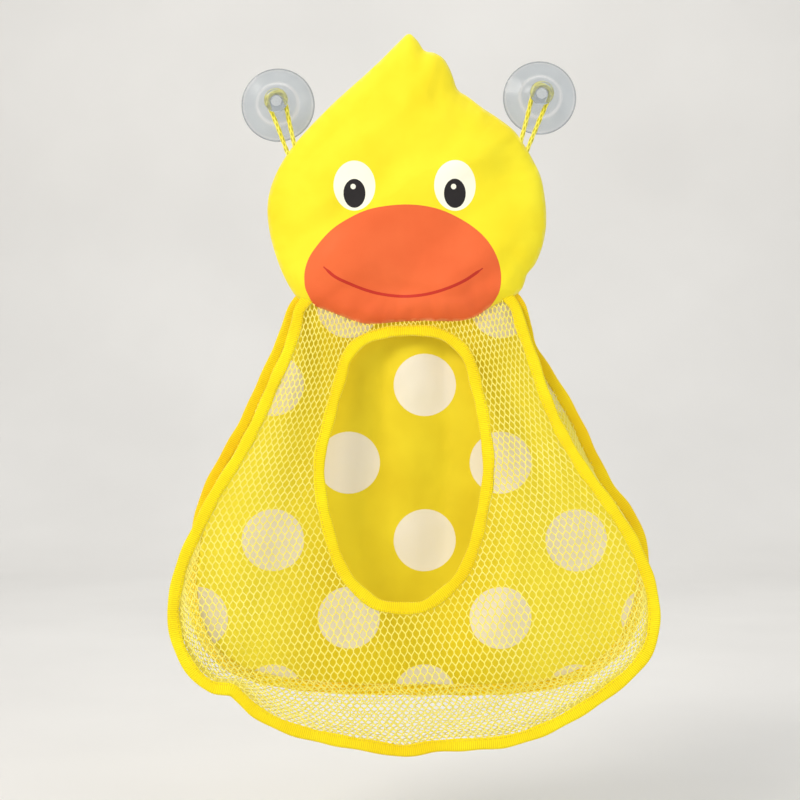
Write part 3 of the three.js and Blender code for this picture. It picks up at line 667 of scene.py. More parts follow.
@dataclass(frozen=True)
class DottedCloth:
    """The thin back cloth with its staggered round dots."""

    name: str
    base: str
    shade: str
    dot: str
    # Painted light: the colour that the cloth turns to towards its sides, from 44 to 84 mm off its middle,
    # which stays darker as painted shade behind the mouth.
    painted_light: str = "fbee46"
    size: float = 38.0 * MM
    column: float = 93.0 * MM
    row: float = 47.6 * MM
    start: tuple[float, float] = (9.7 * MM, -174.5 * MM)
    fuzz: float = 0.15 * MM
    painted_light_from: float = 44 * MM
    painted_light_to: float = 84 * MM
    middle: float = -4 * MM
    thread: float = 0.4 * MM

    def nearness(self, recipe: Recipe, parts: Node, shift: float) -> Socket:
        """Distance from the nearest dot of every second row.

        Args:
            recipe: The material in the making.
            parts: The place of the point, as three numbers.
            shift: 0 for the first rows, 1 for the rows between them.

        Returns:
            The distance in metres.
        """
        flat = []
        for axis, origin, pitch in zip("XZ", self.start, (self.column, 2 * self.row)):
            moved = recipe.math("ADD", parts.outputs[axis], -origin + shift * pitch / 2)
            turns = recipe.math("DIVIDE", moved, pitch)
            nearest = recipe.math("ROUND", turns)
            flat.append(recipe.math("MULTIPLY", recipe.math("SUBTRACT", turns, nearest), pitch))
        across, up = (recipe.math("MULTIPLY", part, part) for part in flat)
        return recipe.math("SQRT", recipe.math("ADD", across, up))

    def make(self) -> Finish:
        """Build the material.

        Returns:
            A thin cloth with printed dots, painted shade between its threads, and painted light that makes
            it paler towards its sides.
        """
        recipe = Recipe(self.name)
        place = recipe.place()
        parts = recipe.parts(place)
        near = recipe.math("MINIMUM", self.nearness(recipe, parts, 0), self.nearness(recipe, parts, 1))
        edge = recipe.math(
            "ADD", near, recipe.spread(recipe.noise(place, 900.0), 0, 1, (-self.fuzz, self.fuzz))
        )
        printed = recipe.spread(edge, self.size / 2 - self.fuzz, self.size / 2 + self.fuzz, (1.0, 0.0))
        weave = recipe.plain_weave(parts, self.thread)
        cloud = recipe.noise(place, 18.0)
        ground = recipe.shades(cloud, (0.3, 0.7), 0.8, self.base, self.shade)
        # Painted light and shade: the cloth stays darker in its middle, behind the mouth, and turns paler
        # towards its sides.
        aside = recipe.math("ABSOLUTE", recipe.math("SUBTRACT", parts.outputs["X"], self.middle))
        painted_side_light = recipe.spread(aside, self.painted_light_from, self.painted_light_to, (0.0, 0.75))
        ground = recipe.mix(painted_side_light, ground, colour(self.painted_light))
        spots = recipe.shades(cloud, (0.3, 0.7), 0.35, self.dot, "eadfb0")
        both = recipe.mix(printed, ground, spots)
        # Painted shade: the cloth turns towards its darker colour in the gaps between the threads.
        shaded_gaps = recipe.mix(recipe.spread(weave, 0.0, 0.5, (0.12, 0.0)), both, colour(self.shade))
        fine = recipe.bump(weave, 0.1 * MM, 0.3)
        soft = recipe.bump(recipe.noise(place, 60.0), 0.6 * MM, 0.35, fine)
        return recipe.finish(
            Base_Color=shaded_gaps,
            Roughness=recipe.spread(cloud, 0.2, 0.8, (0.6, 0.78)),
            Normal=soft,
            Sheen_Weight=0.1,
            Sheen_Roughness=0.5,
            Specular_IOR_Level=0.25,
        )


@dataclass(frozen=True)
class Yarn:
    """Twisted polyester yarn, as in the net and the stitches."""

    name: str
    base: str
    shade: str
    twist: float = 0.5 * MM
    sheen: float = 0.3

    def make(self) -> Finish:
        """Build the material.

        Returns:
            A yarn with fine slanting plies and painted shade in the grooves between them.
        """
        recipe = Recipe(self.name)
        place = recipe.place()
        parts = recipe.parts(place)
        slant = recipe.math(
            "ADD", parts.outputs["X"], recipe.math("ADD", parts.outputs["Y"], parts.outputs["Z"])
        )
        plies = recipe.threads(slant, self.twist)
        cloud = recipe.noise(place, 45.0)
        tint = recipe.shades(cloud, (0.3, 0.7), 0.8, self.base, self.shade)
        # Painted shade: the yarn turns towards its darker colour in the grooves between its plies.
        shaded_grooves = recipe.mix(recipe.spread(plies, 0.0, 0.45, (0.3, 0.0)), tint, colour(self.shade))
        return recipe.finish(
            Base_Color=shaded_grooves,
            Roughness=recipe.spread(cloud, 0.2, 0.8, (0.55, 0.75)),
            Normal=recipe.bump(plies, 0.08 * MM, 0.5),
            Sheen_Weight=self.sheen,
            Sheen_Roughness=0.4,
            Specular_IOR_Level=0.4,
        )


@dataclass(frozen=True)
class BraidedCord:
    """Round braid, whose mesh says how high each point of it stands."""

    name: str
    base: str
    shade: str
    # Colour of the painted shade in the grooves between the strands.
    groove_shade: str

    def make(self) -> Finish:
        """Build the material.

        Returns:
            A braid with painted shade in its grooves and fine filaments along its strands.
        """
        recipe = Recipe(self.name)
        place = recipe.place()
        height = recipe.attribute("relief")
        parts = recipe.parts(recipe.cloth_map())
        slant = recipe.math("ADD", parts.outputs["X"], parts.outputs["Y"])
        filaments = recipe.threads(slant, 0.22 * MM)
        cloud = recipe.noise(place, 260.0)
        tint = recipe.shades(cloud, (0.3, 0.7), 1.0, self.base, self.shade)
        # Painted shade: the braid turns towards its dark colour where its surface lies low, in the grooves
        # between the strands.
        shaded_grooves = recipe.mix(recipe.spread(height, 0.15, 0.7, (0.9, 0.0)), tint, colour(self.groove_shade))
        return recipe.finish(
            Base_Color=shaded_grooves,
            Roughness=recipe.spread(cloud, 0.2, 0.8, (0.5, 0.7)),
            Normal=recipe.bump(filaments, 0.06 * MM, 0.6),
            Sheen_Weight=0.2,
            Sheen_Roughness=0.4,
            Specular_IOR_Level=0.4,
        )


@dataclass(frozen=True)
class RibbedTape:
    """Woven binding tape with cross ribs."""

    name: str
    base: str
    shade: str
    # Colour of the painted shade in the grooves between the ribs.
    groove_shade: str = "b98a04"
    rib: float = 1.15 * MM

    def make(self) -> Finish:
        """Build the material.

        Returns:
            A tape with painted shade in the grooves between its ribs, and a fine weave along them.
        """
        recipe = Recipe(self.name)
        place = recipe.place()
        turned = recipe.math("MULTIPLY", recipe.attribute("along"), 2 * math.pi / self.rib)
        ribs = recipe.spread(recipe.math("SINE", turned), -1.0, 1.0, (0.0, 1.0))
        parts = recipe.parts(recipe.cloth_map())
        weave = recipe.threads(parts.outputs["Y"], 0.35 * MM)
        cloud = recipe.noise(place, 30.0)
        tint = recipe.shades(cloud, (0.32, 0.72), 0.85, self.base, self.shade)
        # Painted shade: the tape turns towards its dark colour in the grooves between its ribs.
        shaded_grooves = recipe.mix(recipe.spread(ribs, 0.0, 0.6, (0.4, 0.0)), tint, colour(self.groove_shade))
        worn = recipe.math("MULTIPLY", recipe.attribute("edge"), recipe.noise(place, 240.0))
        rubbed = recipe.mix(recipe.spread(worn, 0.3, 0.7, (0.0, 0.35)), shaded_grooves, colour("fff09a"))
        return recipe.finish(
            Base_Color=rubbed,
            Roughness=recipe.spread(cloud, 0.2, 0.8, (0.6, 0.78)),
            Normal=recipe.bump(weave, 0.06 * MM, 0.4),
            Sheen_Weight=0.1,
            Sheen_Roughness=0.4,
            Specular_IOR_Level=0.25,
        )


@dataclass(frozen=True)
class ClearVinyl:
    """Soft clear plastic of the suction cups, a little grey."""

    name: str
    tint: str

    def make(self) -> Finish:
        """Build the material.

        Returns:
            A clear plastic with faint flow marks, painted shade at grazing angles and along the rim, and
            painted highlight rings at the hub's step and the disc's lip.
        """
        recipe = Recipe(self.name)
        place = recipe.place()
        cloud = recipe.noise(place, 120.0)
        body = recipe.shades(cloud, (0.3, 0.7), 0.4, self.tint, "c4ccd2")
        # Painted shade: the plastic turns darker grey where it is seen at a grazing angle.
        slant = recipe.node("ShaderNodeLayerWeight", {"Blend": 0.35}).outputs["Facing"]
        turned = recipe.mix(recipe.spread(slant, 0.45, 0.95, (0.0, 0.75)), body, colour("7d868c"))
        # Painted highlight: the plastic turns white on the rings that the mesh marks at the hub's step and
        # the disc's lip.
        highlighted = recipe.mix(recipe.attribute("painted_light"), turned, colour("ffffff"))
        # Painted shade: a darker grey line along the rim, where the mesh marks its edge.
        rim = recipe.spread(recipe.attribute("edge"), 0.0, 1.0, (0.0, 0.8))
        return recipe.finish(
            Base_Color=recipe.mix(rim, highlighted, colour("848c92")),
            Roughness=recipe.spread(recipe.noise(place, 120.0, 1.0), 0.3, 0.7, (0.1, 0.2)),
            Normal=recipe.bump(cloud, 0.2 * MM, 0.08),
            IOR=1.22,
            Transmission_Weight=0.85,
            Specular_IOR_Level=0.6,
        )


@dataclass(frozen=True)
class OpenFoam:
    """Pale open-cell foam."""

    name: str
    base: str

    def make(self) -> Finish:
        """Build the material.

        Returns:
            A foam pitted by its cells.
        """
        recipe = Recipe(self.name)
        place = recipe.place()
        cells = recipe.node("ShaderNodeTexVoronoi", {"Vector": place, "Scale": 900.0}).outputs["Distance"]
        pits = recipe.shades(cells, (0.2, 0.7), 0.5, self.base, "c9c2ae")
        return recipe.finish(
            Base_Color=pits,
            Roughness=recipe.spread(cells, 0, 1, (0.85, 0.98)),
            Normal=recipe.bump(cells, 0.3 * MM, 0.6),
        )


class Wardrobe:
    """All finishes of the organizer, each made once."""

    def __init__(self) -> None:
        """Make every material."""
        self.cloth = WovenCloth("head_cloth", "f8ea28", "f0d816").make()
        self.orange = WovenCloth("orange_print", "ef6d38", "e25e2c", relief=0.25).make()
        self.red = WovenCloth("red_print", "cb3022", "b82a1e", relief=0.2).make()
        self.white = WovenCloth("white_print", "fdfdea", "f8f6da", relief=0.2).make()
        self.black = WovenCloth("black_print", "211e1f", "2b2728", sheen=0.05, relief=0.2).make()
        self.dotted = DottedCloth("dotted_cloth", "eed822", "dabe14", "eee6d6").make()
        self.net = Yarn("net_yarn", "fdf382", "f6e854", twist=0.55 * MM, sheen=0.12).make()
        self.cord = BraidedCord("cord_braid", "fff668", "f8e834", "b8ae24").make()
        self.stitch = Yarn("stitch_yarn", "f6d616", "dcb70c", twist=0.3 * MM).make()
        self.tape = RibbedTape("binding_tape", "fdee0c", "f2d208", "c49806").make()
        # Painted shade: a slightly more orange copy of the binding tape stands in for the shade on the back
        # edge.
        self.shaded_back_tape = RibbedTape("shaded_back_binding_tape", "ffe40c", "f8c808", "cc9604").make()
        self.vinyl = ClearVinyl("clear_vinyl", "dde2e6").make()
        self.foam = OpenFoam("padding_foam", "efece2").make()


def dress(piece: Piece, material: Finish) -> Piece:
    """Give a piece its only material and log its number of points.

    Args:
        piece: The piece.
        material: Its finish.

    Returns:
        The same piece.
    """
    piece.data.materials.clear()
    piece.data.materials.append(material)
    LOG.info("%s: %d points", piece.name, len(getattr(piece.data, "vertices", ())))
    return piece


# ---- node-made pieces


class NodeRecipe(Tree):
    """A Geometry Nodes tree with named inputs, built step by step."""

    def __init__(self, name: str) -> None:
        """Start a tree that takes and gives a geometry.

        Args:
            name: Name of the tree.
        """
        self.tree = bpy.data.node_groups.new(name, "GeometryNodeTree")
        self.nodes, self.links = self.tree.nodes, self.tree.links
        self.tree.interface.new_socket("Geometry", in_out="INPUT", socket_type="NodeSocketGeometry")
        self.tree.interface.new_socket("Geometry", in_out="OUTPUT", socket_type="NodeSocketGeometry")
        self.source = self.nodes.new("NodeGroupInput")
        self.keys: dict[str, str] = {}

    def value(self, name: str, kind: str = "NodeSocketFloat") -> Socket:
        """Add a named input and return its socket."""
        self.keys[name] = self.tree.interface.new_socket(name, in_out="INPUT", socket_type=kind).identifier
        return self.source.outputs[name]

    def stored(self, name: str, kind: str = "FLOAT") -> Socket:
        """What the mesh holds under a name for each point."""
        made = self.node("GeometryNodeInputNamedAttribute", {"Name": name}, data_type=kind)
        return made.outputs["Attribute"]

    def close(self, shape: Socket, material: Socket) -> None:
        """End the tree: smooth, made real and with its material.

        Args:
            shape: The geometry.
            material: Its material.
        """
        smooth = self.node("GeometryNodeSetShadeSmooth", {"Geometry": shape}).outputs[0]
        real = self.node("GeometryNodeRealizeInstances", {"Geometry": smooth}).outputs[0]
        dressed = self.node("GeometryNodeSetMaterial", {"Geometry": real, "Material": material}).outputs[0]
        output = self.nodes.new("NodeGroupOutput")
        self.links.new(dressed, output.inputs["Geometry"])

    def run(self, piece: Piece, values: dict[str, object]) -> Piece:
        """Run the tree on a piece.

        Args:
            piece: Object that holds the geometry to start from.
            values: Values of the named inputs.

        Returns:
            A plain mesh object of the same name.
        """
        modifier = piece.modifiers.new(self.tree.name, "NODES")
        modifier.node_group = self.tree
        for name, value in values.items():
            modifier[self.keys[name]] = value
        return plain_copy(piece)


class HexNet(NodeRecipe):
    """Hexagonal net laid over a carrier surface by the carrier's own map."""

    def __init__(self) -> None:
        """Build the tree."""
        super().__init__("hexagonal_net")
        pitch, row = self.value("Pitch"), self.value("Row")
        columns, rows = self.value("Columns", "NodeSocketInt"), self.value("Rows", "NodeSocketInt")
        slope, gauge, lens = self.value("Slope"), self.value("Gauge"), self.value("Lens")
        sides, material = self.value("Sides", "NodeSocketInt"), self.value("Material", "NodeSocketMaterial")
        width = self.math("MULTIPLY", pitch, self.math("SUBTRACT", columns, 1.0))
        height = self.math("MULTIPLY", row, self.math("SUBTRACT", rows, 1.0))
        grid = self.node("GeometryNodeMeshGrid", {
            "Size X": width, "Size Y": height, "Vertices X": columns, "Vertices Y": rows,
        })
        index = self.node("GeometryNodeInputIndex", {}).outputs[0]
        odd = self.math("MODULO", self.math("MODULO", index, rows), 2.0)
        shift = self.math("MULTIPLY", odd, self.math("MULTIPLY", pitch, 0.5))
        offset = self.node("ShaderNodeCombineXYZ", {"X": shift}).outputs[0]
        staggered = self.node(
            "GeometryNodeSetPosition", {"Geometry": grid.outputs["Mesh"], "Offset": offset}
        )
        triangles = self.node(
            "GeometryNodeTriangulate", {"Mesh": staggered.outputs[0]}, quad_method="SHORTEST_DIAGONAL"
        )
        cells = self.node("GeometryNodeDualMesh", {"Mesh": triangles.outputs[0]})
        place = self.node("GeometryNodeInputPosition", {}).outputs[0]
        level = self.node("ShaderNodeSeparateXYZ", {"Vector": place}).outputs["Y"]
        raised = self.math("ADD", level, self.math("MULTIPLY", height, 0.5))
        beyond = self.math("SUBTRACT", self.math("FRACT", self.math("DIVIDE", raised, row)), 0.5)
        stretch = self.math(
            "MULTIPLY", self.math("MULTIPLY", beyond, row), self.math("SUBTRACT", lens, 1.0)
        )
        pull = self.node("ShaderNodeCombineXYZ", {"Y": stretch}).outputs[0]
        pulled = self.node("GeometryNodeSetPosition", {"Geometry": cells.outputs[0], "Offset": pull})
        turn = self.node("ShaderNodeCombineXYZ", {"Z": slope}).outputs[0]
        turned = self.node("GeometryNodeTransform", {"Geometry": pulled.outputs[0], "Rotation": turn})
        cloth_map = self.stored("cloth_map", "FLOAT_VECTOR")
        sample = self.node("GeometryNodeSampleUVSurface", {
            "Mesh": self.source.outputs["Geometry"], "Value": place,
            "Source UV Map": cloth_map, "Sample UV": place,
        }, data_type="FLOAT_VECTOR")
        missing = self.node("FunctionNodeBooleanMath", {0: sample.outputs["Is Valid"]}, operation="NOT")
        kept = self.node("GeometryNodeDeleteGeometry", {
            "Geometry": turned.outputs[0], "Selection": missing.outputs[0],
        }, domain="POINT")
        laid = self.node("GeometryNodeSetPosition", {
            "Geometry": kept.outputs[0], "Position": sample.outputs["Value"],
        })
        strands = self.node("GeometryNodeMeshToCurve", {"Mesh": laid.outputs[0]})
        round_section = self.node("GeometryNodeCurvePrimitiveCircle", {
            "Resolution": sides, "Radius": self.math("MULTIPLY", gauge, 0.5),
        })
        tubes = self.node("GeometryNodeCurveToMesh", {
            "Curve": strands.outputs[0], "Profile Curve": round_section.outputs["Curve"],
        })
        self.close(tubes.outputs[0], material)


class Ribs(NodeRecipe):
    """Cross ribs on a tape, from how far along it each point lies."""

    def __init__(self) -> None:
        """Build the tree."""
        super().__init__("tape_ribs")
        pitch, depth = self.value("Pitch"), self.value("Depth")
        material = self.value("Material", "NodeSocketMaterial")
        along = self.stored("along")
        outer = self.stored("outer")
        turned = self.math("MULTIPLY", self.math("DIVIDE", along, pitch), 2 * math.pi)
        lift = self.math("MULTIPLY", self.math("MULTIPLY", self.math("SINE", turned), depth), outer)
        normal = self.node("GeometryNodeInputNormal", {}).outputs[0]
        offset = self.node("ShaderNodeVectorMath", {0: normal, "Scale": lift}, operation="SCALE").outputs[0]
        shaped = self.node(
            "GeometryNodeSetPosition", {"Geometry": self.source.outputs["Geometry"], "Offset": offset}
        )
        self.close(shaped.outputs[0], material)


class Stitches(NodeRecipe):
    """A row of stitches along a line."""

    def __init__(self) -> None:
        """Build the tree."""
        super().__init__("stitch_row")
        pitch, length, gauge = self.value("Pitch"), self.value("Length"), self.value("Gauge")
        material = self.value("Material", "NodeSocketMaterial")
        line = self.node("GeometryNodeMeshToCurve", {"Mesh": self.source.outputs["Geometry"]})
        spaced = self.node(
            "GeometryNodeResampleCurve", {"Curve": line.outputs[0], "Length": pitch}, mode="LENGTH"
        )
        tangent = self.node("GeometryNodeInputTangent", {}).outputs[0]
        turn = self.node("FunctionNodeAlignRotationToVector", {"Vector": tangent}, axis="X")
        bead = self.node("GeometryNodeMeshUVSphere", {"Segments": 6, "Rings": 5, "Radius": 0.5})
        size = self.node("ShaderNodeCombineXYZ", {"X": length, "Y": gauge, "Z": gauge}).outputs[0]
        stitches = self.node("GeometryNodeInstanceOnPoints", {
            "Points": spaced.outputs[0], "Instance": bead.outputs["Mesh"],
            "Rotation": turn.outputs[0], "Scale": size,
        })
        self.close(stitches.outputs[0], material)


# ---- suction cups


@dataclass
class SuctionCups:
    """The two clear cups on the wall."""

    spacing: float = 161 * MM
    rise: float = 4.4 * MM
    diameter: float = 45 * MM
    seal_width: float = 3 * MM
    recess: float = 2.6 * MM
    ring_diameter: float = 25 * MM
    ring_step: float = 0.8 * MM
    hub_height: float = 9.6 * MM
    neck_diameter: float = 6.4 * MM
    neck_length: float = 6.6 * MM
    knob_diameter: float = 14.6 * MM
    knob_height: float = 3.8 * MM
    segments: int = 96
    seat: float = 0.44
    lip_share: float = 0.47
    # Widths of the painted highlight rings at the hub's step and the disc's lip, and of the painted shade
    # along the rim.
    step_highlight: float = 0.9 * MM
    lip_highlight: float = 0.35 * MM
    rim_shade: float = 0.45 * MM

    def middle(self, side: Side) -> Array:
        """Where a cup's middle meets the wall."""
        return at(side.value * self.spacing / 2, 0, side.value * self.rise / 2)

    def loop_depth(self) -> float:
        """How far from the wall the cord lies on the neck."""
        return self.hub_height + self.neck_length * self.seat

    def profile(self) -> Array:
        """The cup's section from the middle of its hollow to the middle of its knob.

        Returns:
            Pairs of distance from the axis and height over the wall.
        """
        rim, ring = self.diameter / 2, self.ring_diameter / 2
        neck, knob = self.neck_diameter / 2, self.knob_diameter / 2
        foot, top = 0.56 * self.hub_height, self.hub_height + self.neck_length
        hollow = smooth_line([
            (0, self.recess), (0.5 * ring, 0.97 * self.recess), (ring, 0.85 * self.recess),
            (0.8 * (rim - self.seal_width), 0.35 * self.recess), (rim - self.seal_width, 0),
        ], 16)
        lip = smooth_line(
            [
                (rim - 0.4 * MM, 0), (rim, 0.35 * MM), (rim - 0.1 * MM, 0.8 * MM),
                (rim - 0.5 * MM, 0.95 * MM)
            ],
            7
        )
        disc = smooth_line([
            (self.lip_share * self.diameter, 0.13 * self.hub_height),
            (0.44 * self.diameter, 0.2 * self.hub_height),
            (0.36 * self.diameter, 0.36 * self.hub_height), (ring + 0.6 * MM, foot - 0.5 * MM),
            (ring, foot),
        ], 12)
        hub = smooth_line([
            (ring - 0.05 * MM, foot + 0.6 * self.ring_step),
            (ring - 0.5 * self.ring_step, foot + self.ring_step),
            (0.25 * self.diameter, 0.74 * self.hub_height), (0.17 * self.diameter, 0.92 * self.hub_height),
            (neck + 1.2 * MM, 0.985 * self.hub_height), (neck + 0.25 * MM, self.hub_height + 0.5 * MM),
            (neck, self.hub_height + 1.2 * MM),
        ], 18)
        shaft = np.array([(neck, self.hub_height + self.neck_length * share) for share in (0.4, 0.6, 0.8)])
        cap = smooth_line([
            (neck + 0.1 * MM, top - 0.5 * MM), (0.75 * knob, top),
            (0.95 * knob, top + 0.12 * self.knob_height),
            (knob, top + 0.42 * self.knob_height), (0.94 * knob, top + 0.7 * self.knob_height),
            (0.76 * knob, top + 0.88 * self.knob_height), (0.4 * knob, top + 0.98 * self.knob_height),
            (0, top + self.knob_height),
        ], 22)
        return np.vstack([hollow, lip, disc, hub, shaft, cap])

    def build(self, wardrobe: Wardrobe) -> None:
        """Turn both cups and put them on the wall.

        Args:
            wardrobe: The finishes.
        """
        section = self.profile()
        inner = section[1:-1]
        angles = np.linspace(0, 2 * math.pi, self.segments, endpoint=False)
        count = self.segments
        for side in Side:
            middle = self.middle(side)
            rings = [
                np.column_stack([
                    middle[0] + radius * np.cos(angles), np.full(count, -height),
                    middle[2] + radius * np.sin(angles),
                ])
                for radius, height in inner
            ]
            poles = np.array(
                [(middle[0], -section[0][1], middle[2]), (middle[0], -section[-1][1], middle[2])]
            )
            points = np.vstack([*rings, poles])
            faces = grid_faces(len(inner), count, False, True)
            low, high, last = len(inner) * count, len(inner) * count + 1, (len(inner) - 1) * count
            for step in range(count):
                following = (step + 1) % count
                faces.append((low, following, step))
                faces.append((high, last + step, last + following))
            name = f"suction_cup_{side.label}"
            radius = np.hypot(points[:, 0] - middle[0], points[:, 2] - middle[2])
            # Marks for the clear vinyl: painted highlight rings at the hub's step and the disc's lip, and
            # painted shade along the rim.
            step_highlight_ring = 0.8 * np.exp(-((radius - self.ring_diameter / 2) / self.step_highlight) ** 2)
            lip_highlight_ring = np.exp(-((radius - self.lip_share * self.diameter) / self.lip_highlight) ** 2)
            marks = {
                "painted_light": np.maximum(step_highlight_ring, lip_highlight_ring),
                "edge": np.exp(-((radius - self.diameter / 2) / self.rim_shade) ** 2),
            }
            cup = face_outwards(mesh_object(f"clear_cup_{side.label}", points, faces, None, marks))
            dress(cup, wardrobe.vinyl)
            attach(cup, Body.CUPS.value)
            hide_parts(name)


# ---- head


@dataclass
class HeadPattern:
    """The head's outline, its prints and its swelling."""

    width: float = 170 * MM
    height: float = 176.5 * MM
    top: float = 38.9 * MM
    front_crown: float = 9.5 * MM
    back_crown: float = 3.2 * MM
    softness: float = 9 * MM
    crown: Pairs = (
        (0.415, 0.851), (0.421, 0.831), (0.451, 0.793), (0.474, 0.741), (0.489, 0.675), (0.491, 0.624),
        (0.485, 0.558), (0.471, 0.492), (0.444, 0.436), (0.414, 0.386), (0.376, 0.334), (0.324, 0.294),
        (0.263, 0.255), (0.211, 0.217), (0.175, 0.193), (0.158, 0.151), (0.144, 0.117), (0.121, 0.083),
        (0.089, 0.065), (0.056, 0.058), (0.029, 0.022), (0, 0), (-0.039, 0.031), (-0.098, 0.088),
        (-0.157, 0.141), (-0.218, 0.193), (-0.265, 0.234), (-0.308, 0.275), (-0.354, 0.32), (-0.401, 0.371),
        (-0.429, 0.406), (-0.459, 0.451), (-0.49, 0.517), (-0.504, 0.573), (-0.506, 0.624), (-0.497, 0.689),
        (-0.479, 0.755), (-0.451, 0.827), (-0.418, 0.886),
    )
    chin: Pairs = (
        (-0.418, 0.886), (-0.404, 0.903), (-0.379, 0.924), (-0.344, 0.935), (-0.261, 0.965),
        (-0.189, 0.991), (-0.141, 0.9995), (-0.023, 0.991), (0.096, 0.989), (0.186, 0.988), (0.244, 0.972),
        (0.286, 0.944), (0.333, 0.924), (0.365, 0.91), (0.401, 0.882), (0.415, 0.851),
    )
    bill: Pairs = (
        (-0.342, 0.935), (-0.352, 0.915), (-0.368, 0.881), (-0.372, 0.853), (-0.37, 0.819), (-0.356, 0.778),
        (-0.324, 0.733), (-0.271, 0.679), (-0.211, 0.641), (-0.141, 0.612), (-0.023, 0.596), (0.071, 0.603),
        (0.142, 0.624), (0.214, 0.661), (0.272, 0.711), (0.309, 0.768), (0.324, 0.812), (0.327, 0.853),
        (0.32, 0.893), (0.299, 0.929), (0.285, 0.946),
    )
    smile: Pairs = (
        (-0.303, 0.807), (-0.262, 0.841), (-0.209, 0.865), (-0.14, 0.889), (-0.082, 0.901), (-0.005, 0.906),
        (0.065, 0.899), (0.131, 0.882), (0.195, 0.855), (0.236, 0.829), (0.261, 0.812),
    )
    smile_width: float = 1.8 * MM
    eye: tuple[float, float] = (25 * MM, 29.8 * MM)
    pupil: tuple[float, float] = (13.2 * MM, 17.2 * MM)
    pupil_drop: float = 4.6 * MM
    glint: float = 3.2 * MM
    glint_drop: float = 0.6 * MM
    glint_shift: float = 0.8 * MM
    eye_across: dict[Side, float] = field(default_factory=lambda: {Side.LEFT: -0.193, Side.RIGHT: 0.162})
    eye_lift: float = 0.3826
    bill_overrun: float = 20 * MM

    def flat(self, share: Sequence[float]) -> tuple[float, float]:
        """A flat point from its shares of the head's sizes."""
        return share[0] * self.width, self.top - share[1] * self.height

    def outline(self, count: int = 420) -> Array:
        """The seam all the way round."""
        return smooth_line([self.flat(share) for share in (*self.crown, *self.chin[1:-1])], count, True)

    def chin_line(self, count: int = 120) -> Array:
        """The seam below the head, from left to right."""
        return smooth_line([self.flat(share) for share in self.chin], count)

    def bill_line(self) -> Array:
        """The bill's edge, run on past the seam at both ends."""
        edge = smooth_line([self.flat(share) for share in self.bill], 150)
        return np.vstack([edge[0] - (0, self.bill_overrun), edge, edge[-1] - (0, self.bill_overrun)])

    def smile_outline(self) -> Array:
        """The smile's closed outline, narrowed towards its ends.

        Returns:
            Flat points, the last one the same as the first.
        """
        line = smooth_line([self.flat(share) for share in self.smile], 90)
        run = np.gradient(line, axis=0)
        across = np.column_stack([-run[:, 1], run[:, 0]]) / np.linalg.norm(run, axis=1, keepdims=True)
        taper = np.clip(np.sin(np.linspace(0, math.pi, len(line))) * 8, 0.45, 1)[:, None]
        over, under = (line + side * across * self.smile_width / 2 * taper for side in (1, -1))
        return np.vstack([over, under[::-1], over[:1]])

    def ellipse(self, middle: tuple[float, float], size: tuple[float, float], steps: int) -> Array:
        """A closed ellipse whose last point repeats its first."""
        angles = np.linspace(0, 2 * math.pi, steps + 1)
        return np.array(middle) + np.array(size) / 2 * np.column_stack([np.cos(angles), np.sin(angles)])

    def eye_outlines(self, side: Side) -> dict[str, Array]:
        """The outlines of one eye.

        Args:
            side: Which eye.

        Returns:
            The white, the pupil and the glint.
        """
        bill_top = max(self.flat(share)[1] for share in self.bill)
        across, level = self.eye_across[side] * self.width, bill_top + self.eye[1] * self.eye_lift
        return {
            "white": self.ellipse((across, level), self.eye, 72),
            "pupil": self.ellipse((across, level - self.pupil_drop), self.pupil, 56),
            "glint": self.ellipse(
                (across - self.glint_shift, level - self.glint_drop), (self.glint, self.glint), 24
            ),
        }

    def swelling(self, distance: Array, crown: float) -> Array:
        """How far a skin stands off the seam at a distance from it."""
        return crown * (1 - np.exp(-distance / self.softness))


@dataclass
class PadSimulation:
    """Blows up a pad by cloth simulation."""

    voxel: float = 4.5 * MM
    pressure: float = 4.0
    frames: int = 20
    quality: int = 6
    most: float = 5 * MM

    def remeshed(self, start: Piece) -> Piece:
        """A copy of the pad with even faces.

        Args:
            start: The pad.

        Returns:
            The new pad.
        """
        remesh = start.modifiers.new("even_faces", "REMESH")
        remesh.mode = "VOXEL"
        remesh.voxel_size = self.voxel
        return plain_copy(start)

    def run(self, start: Piece) -> Piece:
        """Swell the pad.

        Args:
            start: The closed pad before it swells.

        Returns:
            The swollen pad as a plain mesh with one subdivision.
        """
        pad = self.remeshed(start)
        before = np.array([point.co for point in pad.data.vertices])
        cloth = pad.modifiers.new("swell", "CLOTH")
        cloth.settings.use_pressure = True
        cloth.settings.uniform_pressure_force = self.pressure
        cloth.settings.effector_weights.gravity = 0
        cloth.settings.quality = self.quality
        scene = bpy.context.scene
        for moment in range(1, self.frames + 1):
            scene.frame_set(moment)
        pad = plain_copy(pad)
        scene.frame_set(1)
        after = np.array([point.co for point in pad.data.vertices])
        moved = after - before
        reach = np.linalg.norm(moved, axis=1, keepdims=True)
        LOG.info("padding swells by %.1f mm at most", reach.max() / MM)
        capped = before + moved * np.minimum(1, self.most / np.maximum(reach, 1e-9))
        pad.data.vertices.foreach_set("co", capped.ravel())
        smooth = pad.modifiers.new("finer", "SUBSURF")
        smooth.levels = smooth.render_levels = 1
        return plain_copy(pad)


